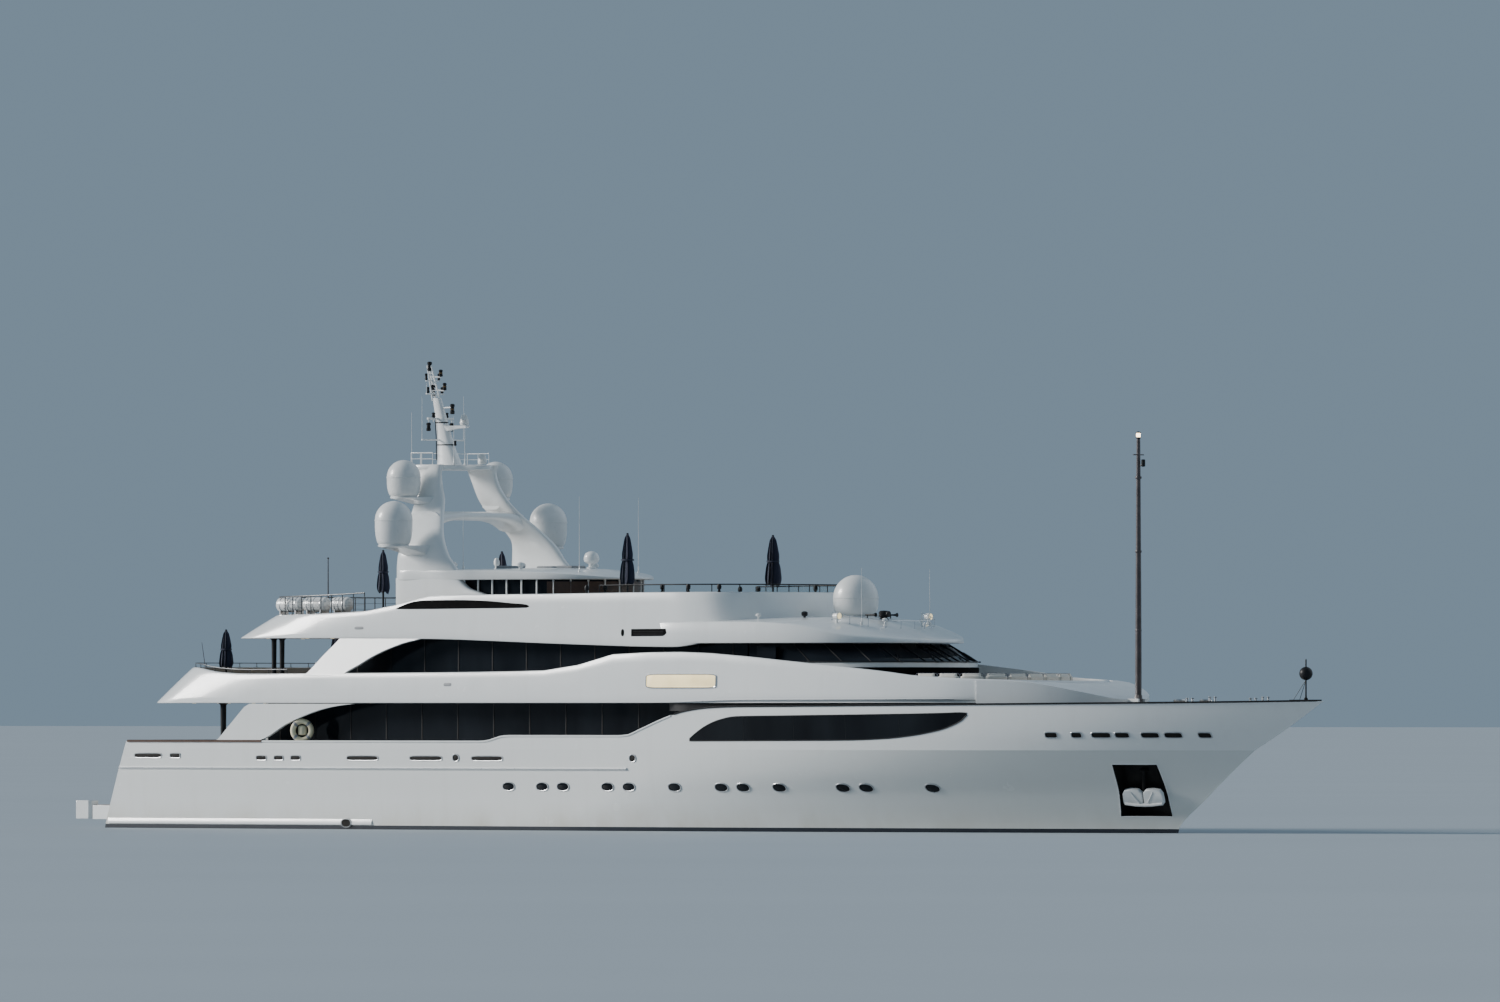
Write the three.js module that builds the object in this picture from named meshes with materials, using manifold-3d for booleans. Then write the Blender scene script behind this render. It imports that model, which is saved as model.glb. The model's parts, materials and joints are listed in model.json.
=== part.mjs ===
// Displacement motor yacht, 63.3 m long at full size, as a 1:2 scale model 31.7 m long.
// Every driving dimension below is in metres of the full-size ship; MM turns it into millimetres of the model.
// Frame: +X to the bow, +Y to port, +Z up. The origin is on the centreline at mid length, in the plane of the waterline.
import * as THREE from "three";
import { mergeVertices } from "three/addons/utils/BufferGeometryUtils.js";
import Module from "manifold-3d";

const wasm = await Module();
wasm.setup();

const MM = 500; // millimetres of model for each metre of ship: 1:2
const GAP = 0.001; // seam between two pieces that touch

// ---- driving dimensions, in metres of ship ----
const MAIN_DECK = 2.6;
const FORE_DECK = 4.35;
const UPPER_DECK = { under: 5.28, floor: 5.5, wall: 0.18 };
const SUN_DECK = { under: 8.0, floor: 8.2, wall: 0.18 };
const RAISED_X = 4.0; // forward of this the hull side runs up to the upper deck
const PLATING = 0.16; // bulwark thickness
const TRANSOM = { x0: -29.95, rake: 0.39 }; // x = x0 + rake * z
const STAIR = { y0: 3.6, y1: 4.7, z0: 0.95, rise: 0.206, run: 0.28, n: 8, x0: -29.4 };
const PLATFORM = { x0: -31.2, x1: -29.6, half: 5.05, z0: 0.36, z1: 0.95 };
const STERN_DOOR = { half: 2.5, z0: 1.12, z1: 2.42, thick: 0.1, depth: 2.4 };
const SALOON = { x0: -21.4, half: 4.45, wall: 0.12, sill: 3.4, door: 1.42, doorTop: 4.8 };
const UPPER_HOUSE = { x0: -17.3, x1: 4.95, half: 4.3, wall: 0.12, sill: 6.3, door: 1.2, doorTop: 7.6 };
const WHEELHOUSE = { sill: 6.95, top: 7.71, doorX0: 5.6, doorX1: 6.5 };
const HARDTOP = { under: 10.42, x0: -14.7, wallX1: -11.25, wallY: 3.95, wall: 0.5 };
const DOME_LOW = { x: -13.8, y: 4.95, z: 12.93, r: 0.79, foot: 11.87, flare: 0.9 };
const DOME_HIGH = { x: -15.0, y: 2.95, z: 14.76, r: 0.71, foot: 13.92, flare: 0.86 };
const DOME_FORE = { x: 7.16, y: 0, z: 9.62, r: 0.93, foot: 8.86, flare: 0.78 };
const PROP = { x: -24.5, y: 2.3, z: -2.25, r: 1.02 };
const RUDDER = { x: -26.55, y: 2.3, top: -1.12, foot: -3.1, chord: 1.6 };
const FIN = { x: 1.0, y: 4.9, z: -1.8, span: 1.5, chord: 1.9, droop: 40 };
const FOREMAST = { x: 22.05, heel: 5.1, pivot: 5.25, top: 16.3 };
const HARDTOP_TOP = 10.93; // where the arch legs stand on the side walls of the hardtop

// Hull lines, one row for each level. Columns: level z, stem x, aft end x, greatest half breadth, x where the
// entrance starts, entrance exponent, x where the run starts, half breadth left at the aft end as a share.
const LINES = [
  [-3.3, 17.0, -6.0, 0.45, 6.0, 1.6, 4.0, 0.1],
  [-3.05, 21.8, -9.5, 1.9, 4.0, 1.45, 0.0, 0.08],
  [-2.5, 24.0, -14.0, 3.9, 2.0, 1.35, -2.0, 0.08],
  [-1.8, 24.9, -19.5, 4.9, 0.0, 1.35, -4.0, 0.12],
  [-1.0, 24.5, -25.0, 5.32, -2.0, 1.42, -8.0, 0.38],
  [-0.45, 24.1, -29.95, 5.43, -3.0, 1.5, -12.0, 0.86],
  [0.0, 24.1, -29.95, 5.5, -4.0, 1.6, -14.0, 0.93],
  [1.43, 25.6, -29.39, 5.58, -2.0, 1.85, -14.0, 0.94],
  [2.5, 26.9, -28.98, 5.66, 0.0, 2.35, -14.0, 0.94],
  [3.36, 28.05, -28.64, 5.69, 1.5, 2.75, -14.0, 0.94],
  [4.07, 29.4, -28.36, 5.7, 2.5, 2.6, -14.0, 0.94],
  [5.4, 31.66, -27.84, 5.7, 4.0, 2.3, -14.0, 0.94],
];
// Top edge of the hull side: x, z. It steps up amidships and sweeps up into the raised bow.
const SHEER = [
  [-28.9, 3.67], [-8.1, 3.67], [-7.1, 3.91], [-0.35, 3.91], [0.3, 4.2], [1.55, 4.6],
  [2.7, 4.92], [4.0, 5.1], [8.3, 5.14], [21.5, 5.26], [28.0, 5.3], [31.9, 5.36],
];
// Sweep plate that joins the aft bulwark to the upper deck: x, z
const MAIN_WING = [[-23.2, 3.5], [-23.2, 3.7], [-21.45, 5.25], [-15.4, 5.25], [-17.6, 4.92], [-19.2, 4.42], [-20.8, 3.66], [-20.8, 3.5]];
// Sweep plate that joins the upper bulwark to the sun deck: x, z
const UPPER_WING = [[-18.12, 6.45], [-18.12, 6.56], [-16.6, 7.94], [-12.0, 7.94], [-12.9, 7.8], [-14.4, 7.32], [-15.9, 6.6], [-16.1, 6.45]];
// Plan of the upper deck: x, half breadth; and its top edge: x, z
const UPPER_PLAN = [
  [-27.75, 3.7], [-27.62, 4.45], [-27.25, 4.95], [-26.6, 5.22], [-25.0, 5.42], [-21, 5.6], [-14, 5.7], [4, 5.7], [8, 5.62],
  [12, 5.3], [14.5, 4.85], [16.1, 4.4], [17.3, 3.85], [18.2, 3.15], [18.8, 2.3], [19.1, 1.4], [19.2, 0.6],
];
const UPPER_TOP = [
  [-27.8, 5.28], [-25.95, 6.81], [-25.0, 6.79], [-23.4, 6.6], [-21.6, 6.52], [-15.6, 6.54], [-4.6, 6.64], [-3.6, 6.77], [-2.6, 6.98],
  [-1.9, 7.17], [-1.25, 7.29], [0.2, 7.36], [2.6, 7.38], [5.5, 7.22], [8.1, 7.0], [10.5, 6.79], [12.9, 6.56], [14.2, 6.4], [16, 6.29], [19.3, 6.18],
];
// Plan of the sun deck and wheelhouse roof: x, half breadth; top edge and lower edge: x, z
const SUN_PLAN = [
  [-23.4, 3.2], [-23.3, 3.95], [-22.95, 4.42], [-22.2, 4.75], [-20.6, 5.0], [-18, 5.2], [1, 5.2], [3.5, 5.1], [6, 4.85], [7.8, 4.5],
  [9.2, 4.0], [10.2, 3.3], [10.9, 2.3], [11.3, 1.25], [11.45, 0.5],
];
const SUN_TOP = [
  [-23.45, 8.0], [-21.5, 8.99], [-14.3, 9.19], [-13.2, 9.5], [-12.0, 9.74], [-10, 9.79], [-6, 9.8], [1.3, 9.85], [5.95, 9.85], [6.1, 8.86],
  [6.8, 8.84], [7.8, 8.68], [8.6, 8.48], [9.3, 8.27], [10.2, 8.04], [10.9, 7.93], [11.6, 7.84],
];
const SUN_UNDER = [[11.6, 7.78], [10.9, 7.73], [3.0, 7.73], [1.7, 7.58], [-4.3, 7.72], [-11.7, 7.95], [-18.5, 8.0], [-23.45, 8.0]];
const SUN_FRONT = [[5.8, 0.5], [5.7, 1.6], [5.4, 2.9], [4.9, 3.9], [4.2, 4.7]]; // outer face of the screen across the fore end: x, half breadth
// Deck-edge plan of the wheelhouse at its sill and at its roof: x, half breadth
const WHEEL_SILL = [[5.0, 4.3], [8.2, 4.2], [9.7, 3.93], [10.8, 3.4], [11.6, 2.5], [12.1, 1.4], [12.3, 0.5]];
const WHEEL_HEAD = [[5.0, 4.22], [7.2, 4.05], [8.55, 3.73], [9.55, 3.1], [10.2, 2.3], [10.6, 1.3], [10.75, 0.45]];
// Foredeck trunk: plan and top edge
const TRUNK_PLAN = [[16.9, 4.12], [17.6, 3.84], [18.4, 3.5], [19.2, 3.13], [20.0, 2.68], [20.7, 2.22], [21.25, 1.72], [21.6, 1.15], [21.75, 0.5]];
const TRUNK_TOP = [[16.8, 6.22], [18.0, 6.2], [19.0, 6.12], [19.8, 5.97], [20.6, 5.78], [21.2, 5.62], [21.6, 5.48], [21.8, 5.4]];
// Hardtop: plan and top edge
const HARDTOP_PLAN = [[-14.7, 3.95], [-11.2, 3.95], [-10.4, 3.75], [-8.6, 3.4], [-7.0, 3.0], [-5.8, 2.3], [-5.0, 1.4], [-4.65, 0.5]];
const HARDTOP_EDGE = [[-14.7, HARDTOP_TOP], [-9.0, HARDTOP_TOP], [-6.5, 10.8], [-4.6, 10.52]];
// Arch leg, one row for each level: z, aft x, fore x, middle y, half thickness
const LEG = [
  [HARDTOP_TOP + GAP, -14.68, -11.45, 3.65, 0.28], [11.45, -14.64, -11.9, 3.65, 0.27], [12.1, -14.48, -12.25, 3.6, 0.27], [12.65, -14.7, -12.75, 3.1, 0.25],
  [13.2, -14.95, -13.25, 2.5, 0.23], [13.9, -15.1, -13.55, 1.9, 0.2], [15.3, -15.6, -14.15, 1.75, 0.18],
];

// ---- shape helpers: full-size metres in, three.js geometry in millimetres out ----
function solid(geometry) {
  const g = geometry.clone();
  for (const name of Object.keys(g.attributes)) if (name !== "position") g.deleteAttribute(name);
  const m = mergeVertices(g.index ? g.toNonIndexed() : g, 1e-3);
  const build = (tri) => new wasm.Manifold(new wasm.Mesh({ numProp: 3, vertProperties: m.attributes.position.array, triVerts: tri }));
  const tri = new Uint32Array(m.index.array);
  const made = build(tri);
  if (made.volume() >= 0) return made;
  for (let i = 0; i < tri.length; i += 3) [tri[i + 1], tri[i + 2]] = [tri[i + 2], tri[i + 1]];
  return build(tri);
}
function geometryOf(manifold) {
  const m = manifold.getMesh();
  const p = new Float32Array(m.numVert * 3);
  for (let i = 0; i < m.numVert; i++) p.set(m.vertProperties.subarray(i * m.numProp, i * m.numProp + 3), i * 3);
  const g = new THREE.BufferGeometry();
  g.setAttribute("position", new THREE.BufferAttribute(p, 3));
  g.setIndex(new THREE.BufferAttribute(m.triVerts, 1));
  return g;
}
const join = (...parts) => parts.reduce((a, b) => a.add(b));
const box = (x0, x1, y0, y1, z0, z1) =>
  solid(new THREE.BoxGeometry((x1 - x0) * MM, (y1 - y0) * MM, (z1 - z0) * MM).translate(((x0 + x1) / 2) * MM, ((y0 + y1) / 2) * MM, ((z0 + z1) / 2) * MM));
const shapeOf = (points) => new THREE.Shape(points.map(([a, b]) => new THREE.Vector2(a * MM, b * MM)));
// side view outline (x, z) given a width from y0 to y1
const sidePrism = (points, y0, y1) =>
  solid(new THREE.ExtrudeGeometry(shapeOf(points), { depth: (y1 - y0) * MM, bevelEnabled: false }).rotateX(Math.PI / 2).translate(0, y1 * MM, 0));
// plan outline (x, y) given a height from z0 to z1
const planPrism = (points, z0, z1) =>
  solid(new THREE.ExtrudeGeometry(shapeOf(points), { depth: (z1 - z0) * MM, bevelEnabled: false }).translate(0, 0, z0 * MM));
const mirrored = (half) => [...half, ...half.slice().reverse().map(([x, y]) => [x, -y])];
// Half plan moved inwards: d at the sides, dAft and dFore at the ends.
function inset(half, d, dAft, dFore) {
  const x0 = half[0][0], x1 = half[half.length - 1][0];
  const squeeze = (x) => x0 + dAft + ((x - x0) * (x1 - x0 - dAft - dFore)) / (x1 - x0);
  return half.map(([x, y]) => [squeeze(x), Math.max(y - d, 0.05)]);
}
// Closed body through rings of the same number of points, each ring a list of [x, y, z].
function loft(rings) {
  const n = rings[0].length, p = [], tri = [];
  for (const r of rings) for (const [x, y, z] of r) p.push(x * MM, y * MM, z * MM);
  for (let k = 0; k + 1 < rings.length; k++)
    for (let i = 0; i < n; i++) {
      const j = (i + 1) % n, a = k * n + i, b = k * n + j, c = (k + 1) * n + j, d = (k + 1) * n + i;
      tri.push(a, b, c, a, c, d);
    }
  const cap = (k, flip) => {
    const flat = rings[k].map(([x, y, z]) => [x, y, z]);
    const u = new THREE.Vector3(), nrm = new THREE.Vector3();
    for (let i = 0; i < n; i++) {
      const a = flat[i], b = flat[(i + 1) % n];
      nrm.x += (a[1] - b[1]) * (a[2] + b[2]);
      nrm.y += (a[2] - b[2]) * (a[0] + b[0]);
      nrm.z += (a[0] - b[0]) * (a[1] + b[1]);
    }
    nrm.normalize();
    u.set(Math.abs(nrm.x) < 0.9 ? 1 : 0, Math.abs(nrm.x) < 0.9 ? 0 : 1, 0).cross(nrm).normalize();
    const v = nrm.clone().cross(u);
    const pts = flat.map(([x, y, z]) => new THREE.Vector2(x * u.x + y * u.y + z * u.z, x * v.x + y * v.y + z * v.z));
    for (const [a, b, c] of THREE.ShapeUtils.triangulateShape(pts, [])) tri.push(k * n + a, k * n + (flip ? c : b), k * n + (flip ? b : c));
  };
  cap(0, true);
  cap(rings.length - 1, false);
  const g = new THREE.BufferGeometry();
  g.setAttribute("position", new THREE.Float32BufferAttribute(p, 3));
  g.setIndex(tri);
  return solid(g);
}
// Upright strip of wall along a path in plan, from z0 to z1, t thick towards its left. The path may change on the way up.
function wall(path0, z0, path1, z1, t) {
  const ring = (path, z) => {
    const left = path.map((q, i) => {
      const a = path[Math.max(i - 1, 0)], b = path[Math.min(i + 1, path.length - 1)];
      const d1 = new THREE.Vector2(q[0] - a[0], q[1] - a[1]).normalize(), d2 = new THREE.Vector2(b[0] - q[0], b[1] - q[1]).normalize();
      if (i === 0) d1.copy(d2);
      if (i === path.length - 1) d2.copy(d1);
      const m = new THREE.Vector2(-(d1.y + d2.y), d1.x + d2.x).normalize();
      const k = t / Math.max(0.3, m.dot(new THREE.Vector2(-d1.y, d1.x)));
      return [q[0] + m.x * k, q[1] + m.y * k, z];
    });
    return [...path.map(([x, y]) => [x, y, z]), ...left.reverse()];
  };
  return loft([ring(path0, z0), ring(path1, z1)]);
}
const lathe = (profile, sides) => new THREE.LatheGeometry(profile.map(([r, z]) => new THREE.Vector2(r * MM, z * MM)), sides).rotateX(Math.PI / 2);
const rod = (a, b, ra, rb, sides) => {
  const A = new THREE.Vector3(...a).multiplyScalar(MM), B = new THREE.Vector3(...b).multiplyScalar(MM), d = B.clone().sub(A);
  const g = new THREE.CylinderGeometry(rb * MM, ra * MM, d.length(), sides).translate(0, d.length() / 2, 0);
  g.applyQuaternion(new THREE.Quaternion().setFromUnitVectors(new THREE.Vector3(0, 1, 0), d.normalize())).translate(A.x, A.y, A.z);
  return solid(g);
};
// The port one of a pair, from the starboard one.
const toPort = (s) => solid(geometryOf(s).scale(1, -1, 1));
const moved = (s, x, y, z) => solid(geometryOf(s).translate(x * MM, y * MM, z * MM));
const turned = (s, matrix) => solid(geometryOf(s).applyMatrix4(matrix));

// ---- hull form ----
function level(z) {
  let i = 0;
  while (i < LINES.length - 2 && z > LINES[i + 1][0]) i++;
  const a = LINES[i], b = LINES[i + 1], t = (z - a[0]) / (b[0] - a[0]);
  return a.map((v, k) => v + (b[k] - v) * t);
}
function halfBreadth(x, z) {
  const [, stem, aft, B, xf, p, xr, r] = level(z);
  if (x >= stem) return 0;
  if (x > xf) return B * (1 - ((x - xf) / (stem - xf)) ** p);
  if (x < xr) return B * (1 - (1 - r) * Math.min(1, (xr - x) / (xr - aft)) ** 2);
  return B;
}
// Body bounded by the hull lines between two levels, moved inwards by d at the sides and by e at the ends.
const U = [0, 0.006, 0.02, 0.045, 0.08, 0.125, 0.18, 0.25, 0.33, 0.42, 0.55, 0.7, 0.8, 0.88, 0.94, 0.98, 1];
function hullBody(levels, d = 0, e = 0) {
  const rings = levels.map((z) => {
    const [, stem, aft] = level(z);
    const port = U.map((u) => {
      const x = stem - u * (stem - aft), y = Math.max(halfBreadth(x, z) - d, 0.012);
      return [stem - 1.8 * e - u * (stem - aft - 2.8 * e), y, z];
    });
    return [...port, ...port.slice().reverse().map(([x, y]) => [x, -y, z])];
  });
  const half = loft(rings).intersect(box(-50, 50, -9, 0, -6, 10));
  return half.add(toPort(half));
}

const group = new THREE.Group();
const paint = {
  white: [0xe9ebe8, 0.3, 0.0], bottom: [0x1d2a44, 0.6, 0.0], glass: [0x0b0e12, 0.06, 0.0], steel: [0xb9bdc0, 0.3, 0.9], bronze: [0xa07a3c, 0.35, 0.9],
  dome: [0xf1f1ee, 0.45, 0.0], navy: [0x10152a, 0.85, 0.0], cushion: [0xe6e0d2, 0.9, 0.0], dark: [0x2b2320, 0.5, 0.2], teak: [0xa9855c, 0.7, 0.0],
};
function node(name, finish, made) {
  const [color, roughness, metalness] = paint[finish];
  const mesh = new THREE.Mesh(geometryOf(made), new THREE.MeshStandardMaterial({ color, roughness, metalness }));
  mesh.name = name;
  group.add(mesh);
}

// Hull up to the main deck and the foredeck, with the stern stairs, stern locker and anchor pockets cut in.
const deckLine = (dz) => [[-40, -6], [-40, MAIN_DECK + dz], [RAISED_X, MAIN_DECK + dz], [RAISED_X, FORE_DECK + dz], [40, FORE_DECK + dz], [40, -6]];
const sheerBody = sidePrism([[-40, -6], [-40, 3.67], ...SHEER, [40, 5.36], [40, -6]], -8, 8);
const stairs = [];
for (let i = 0; i <= STAIR.n; i++) {
  const top = STAIR.z0 + STAIR.rise * i, x1 = STAIR.x0 + STAIR.run * (i + 1);
  stairs.push(box(i ? x1 - STAIR.run - 0.01 : -31, i === STAIR.n ? x1 + 0.3 : x1, -STAIR.y1, -STAIR.y0, Math.min(top, MAIN_DECK), 4.2));
}
const stairWell = join(...stairs);
const transomX = (z) => TRANSOM.x0 + TRANSOM.rake * z;
const locker = sidePrism(
  [[transomX(STERN_DOOR.z0) - 0.4, STERN_DOOR.z0], [transomX(STERN_DOOR.z0) + STERN_DOOR.depth, STERN_DOOR.z0],
    [transomX(STERN_DOOR.z0) + STERN_DOOR.depth, STERN_DOOR.z1], [transomX(STERN_DOOR.z1) - 0.4, STERN_DOOR.z1]],
  -STERN_DOOR.half, STERN_DOOR.half,
);
// Anchor pocket, starboard: four corners on a slanting inner plane, four outside the hull.
const pocket = (() => {
  const corners = [[21.85, 0.67, 0.16], [24.0, 0.67, 0.1], [24.2, 2.8, 0.95], [22.43, 2.8, 1.45]];
  return loft([corners.map(([x, z, y]) => [x, -y, z]), corners.map(([x, z]) => [x, -4.5, z])]);
})();
const levels = LINES.map((r) => r[0]);
const outer = hullBody(levels);
const hull = outer
  .intersect(sidePrism(deckLine(0), -8, 8))
  .subtract(stairWell).subtract(toPort(stairWell)).subtract(locker).subtract(pocket).subtract(toPort(pocket));
node("hull", "white", hull);

// Bulwarks: the hull side above the decks, from the stern stairs to the stem, with the sweep plate aft.
const inner = hullBody([2.3, 2.5, 3.36, 4.07, 5.4], PLATING, 0.2);
const aboveDeck = sidePrism([[-40, MAIN_DECK + GAP], [RAISED_X - GAP, MAIN_DECK + GAP], [RAISED_X - GAP, FORE_DECK + GAP], [40, FORE_DECK + GAP], [40, 7], [-40, 7]], -8, 8);
const ring = outer.subtract(inner).intersect(sheerBody.add(sidePrism(MAIN_WING, -8, 8))).intersect(aboveDeck);
const sideOf = (x0, x1, y0) => ring.intersect(box(x0, x1, -9, -y0, 0, 9));
const bulwarkAft = sideOf(-26, RAISED_X - GAP, GAP).add(sideOf(-35, -25.9, STAIR.y1));
const bulwarkFore = sideOf(RAISED_X, 40, GAP);
node("bulwark_aft_starboard", "white", bulwarkAft);
node("bulwark_aft_port", "white", toPort(bulwarkAft));
node("bulwark_fore_starboard", "white", bulwarkFore);
node("bulwark_fore_port", "white", toPort(bulwarkFore));
node("transom_bulwark", "white", ring.intersect(box(-35, -27, -STAIR.y0, STAIR.y0, 0, 9)));

// Swim platform with a moulded pod at each corner.
const platformPlan = mirrored([[PLATFORM.x0, 4.2], [PLATFORM.x0 + 0.15, 4.75], [PLATFORM.x0 + 0.5, PLATFORM.half], [PLATFORM.x1, PLATFORM.half + 0.1]]);
const pod = planPrism([[-31.7, -5.0], [-31.7, -4.6], [-31.6, -4.5], [-30.9, -4.5], [-30.8, -4.6], [-30.8, -5.0], [-30.9, -5.12], [-31.6, -5.12]], 0.38, 1.15);
node("swim_platform", "white", join(planPrism(platformPlan, PLATFORM.z0, PLATFORM.z1), pod, toPort(pod)).subtract(hullBody(levels, -0.0016, -0.0016)));

// Stern door, flush in the raked transom, hinged along its top edge.
{
  const g = 0.02, { z0, z1, half, thick } = STERN_DOOR;
  node("stern_door", "white", sidePrism(
    [[transomX(z0 + g), z0 + g], [transomX(z1 - g), z1 - g], [transomX(z1 - g) + thick, z1 - g], [transomX(z0 + g) + thick, z0 + g]], -half + g, half - g));
}

// Propeller shafts with their V brackets, propellers, rudders and stabiliser fins.
const hullBelow = moved(outer, 0, 0, -0.0012);
const strut = (dy) => loft([-1, 1].map((s) => [[-0.24, 0], [0, 0.05], [0.24, 0], [0, -0.05]].map(([dx, dyy]) =>
  [PROP.x + 0.95 + dx, -PROP.y + dyy + (s > 0 ? dy : 0), s > 0 ? -0.4 : PROP.z])));
const shaft = join(rod([PROP.x + 0.36, -PROP.y, PROP.z], [-14.5, -PROP.y, -1.75], 0.12, 0.12, 10), rod([PROP.x + 0.6, -PROP.y, PROP.z], [PROP.x + 1.3, -PROP.y, PROP.z + 0.036], 0.2, 0.2, 10), strut(-0.75), strut(0.75)).subtract(hullBelow);
const shaftBody = shaft.decompose().sort((a, b) => b.volume() - a.volume())[0];
node("shaft_starboard", "steel", shaftBody);
node("shaft_port", "steel", toPort(shaftBody));

const blade = (() => {
  // columns: radius, half chord, pitch angle from the disc in degrees, half thickness
  const rows = [[0.12, 0.16, 62, 0.05], [0.35, 0.25, 48, 0.035], [0.6, 0.31, 35, 0.022], [0.82, 0.29, 28, 0.015], [0.96, 0.19, 25, 0.01], [1.02, 0.08, 24, 0.006]];
  return loft(rows.map(([r, c, a, t]) => {
    const s = Math.sin((a * Math.PI) / 180), k = Math.cos((a * Math.PI) / 180);
    return [[-c, 0], [-c * 0.4, t], [c * 0.4, t], [c, 0], [c * 0.4, -t], [-c * 0.4, -t]].map(([u, v]) => [u * s + v * k, u * k - v * s, r]);
  }));
})();
const hub = turned(solid(lathe([[0, -0.42], [0.08, -0.4], [0.17, -0.22], [0.19, 0.0], [0.19, 0.3], [0, 0.3]], 16)), new THREE.Matrix4().makeRotationY(Math.PI / 2));
const propeller = join(hub, ...[0, 1, 2, 3, 4].map((i) => turned(blade, new THREE.Matrix4().makeRotationX((i * 2 * Math.PI) / 5))));
node("propeller_starboard", "bronze", moved(propeller, PROP.x, -PROP.y, PROP.z));
node("propeller_port", "bronze", toPort(moved(propeller, PROP.x, -PROP.y, PROP.z)));

const foil = (x0, c, t, flat) => [[0, 0], [0.08, 0.6], [0.3, 1], [0.65, 0.65], [1, 0.06], [1, -0.06], [0.65, -0.65], [0.3, -1], [0.08, -0.6]].map(([a, b]) => flat(x0 - a * c, b * t));
const plating = outer.intersect(box(RUDDER.x - 0.13, RUDDER.x + 0.13, -RUDDER.y - 0.13, -RUDDER.y + 0.13, -3, 0)).boundingBox().min[2] / MM; // underside of the hull over the stock
const rudder = join(
  loft([[RUDDER.foot, 0.86], [-2.2, 0.95], [RUDDER.top, 1]].map(([z, k]) => foil(RUDDER.x + 0.38 * RUDDER.chord * k, RUDDER.chord * k, 0.13, (x, y) => [x, y - RUDDER.y, z]))),
  rod([RUDDER.x, -RUDDER.y, RUDDER.top - 0.05], [RUDDER.x, -RUDDER.y, plating - 0.015], 0.12, 0.12, 12),
);
node("rudder_starboard", "bottom", rudder);
node("rudder_port", "bottom", toPort(rudder));

const droop = (FIN.droop * Math.PI) / 180;
const along = (s) => [-(FIN.y + s * Math.cos(droop)), FIN.z - s * Math.sin(droop)]; // y, z at a distance s down the fin's stock
const fin = join(
  loft([[0.1, 1], [0.1 + FIN.span, 0.72]].map(([s, k]) => foil(FIN.x + 0.35 * FIN.chord * k, FIN.chord * k, 0.13 * k, (x, v) => {
    const [y, z] = along(s);
    return [x, y - v * Math.sin(droop) * 1, z + v * Math.cos(droop)];
  }))),
  rod([FIN.x, ...along(0.015)], [FIN.x, ...along(0.2)], 0.14, 0.14, 12),
);
node("stabiliser_starboard", "bottom", fin);
node("stabiliser_port", "bottom", toPort(fin));

// Stockless anchors in the pockets: shank, crown and two flukes.
{
  const lean = (x, z, out) => { // a point in the pocket, out from its inner plane
    const t = (z - 0.67) / 2.13;
    const a = 0.16 + (1.45 - 0.16) * t, b = 0.1 + (0.95 - 0.1) * t, s = (x - (21.85 + 0.58 * t)) / (2.15 - 0.38 * t);
    return [x, -(a + (b - a) * s + out), z];
  };
  const plate = (pts, o0, o1) => loft([pts.map(([x, z]) => lean(x, z, o0)), pts.map(([x, z]) => lean(x, z, o1))]);
  const anchor = join(
    plate([[22.95, 1.2], [23.2, 1.2], [23.25, 2.6], [23.05, 2.6]], 0.02, 0.14),
    plate([[22.25, 1.05], [23.85, 1.05], [23.8, 1.32], [22.3, 1.32]], 0.02, 0.24),
    plate([[22.2, 1.2], [22.72, 1.2], [22.62, 1.75], [22.34, 1.95]], 0.03, 0.16),
    plate([[23.4, 1.2], [23.88, 1.2], [23.82, 1.9], [23.5, 1.75]], 0.03, 0.14),
  );
  node("anchor_starboard", "steel", anchor);
  node("anchor_port", "steel", toPort(anchor));
}

// Main deck saloon: low walls with the full aft bulkhead, side glass up to the deckhead, and two sliding door leaves.
{
  const s = SALOON, z0 = MAIN_DECK + GAP, z1 = UPPER_DECK.under - GAP, xf = RAISED_X - 0.02;
  const path = [[xf, -s.half], [s.x0, -s.half], [s.x0, s.half], [xf, s.half]].reverse();
  node("saloon_walls", "white", wall(path, z0, path, s.sill, s.wall)
    .add(box(s.x0, s.x0 + s.wall, -s.half, s.half, z0, z1))
    .subtract(box(s.x0 - 1, s.x0 + 1, -s.door, s.door, 0, s.doorTop - 0.06)));
  const pane = box(s.x0 + s.wall + GAP, xf, -s.half + 0.02, -s.half + 0.1, s.sill + GAP, z1);
  node("saloon_glass_starboard", "glass", pane);
  node("saloon_glass_port", "glass", toPort(pane));
  const leaf = box(s.x0 - 0.1, s.x0 - 0.03, -s.door - 0.08, -0.012, z0 + 0.03, s.doorTop);
  node("saloon_door_starboard", "glass", leaf);
  node("saloon_door_port", "glass", toPort(leaf));
}

// Upper deck: slab, bulwark, skirt over the raised bow, and the sweep plates up to the sun deck.
const upperProfile = sidePrism([...UPPER_TOP, [20.3, 5.28]], -8, 8);
const upperOuter = planPrism(mirrored(UPPER_PLAN), UPPER_DECK.under, 9).intersect(upperProfile);
const upperWell = planPrism(mirrored(inset(UPPER_PLAN, UPPER_DECK.wall, 0.95, 0.16)), UPPER_DECK.floor, 9);
const skirtPlan = mirrored([[RAISED_X + 0.3, 5.35], [8, 5.25], [12, 4.9], [14.5, 4.45], [16.5, 3.95], [17.95, 3.3]]);
const upperWing = (() => {
  const flat = sidePrism(UPPER_WING, -5.6, -5.44), g = geometryOf(flat), p = g.attributes.position;
  for (let i = 0; i < p.count; i++) p.setY(i, p.getY(i) + (p.getZ(i) - 6.5 * MM) * 0.29); // leans inboard
  return solid(g);
})();
node("upper_deck", "white", join(upperOuter.intersect(box(-40, 40, -9, 9, 0, UPPER_DECK.floor)), planPrism(skirtPlan, 4.9, 5.4)));
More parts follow.
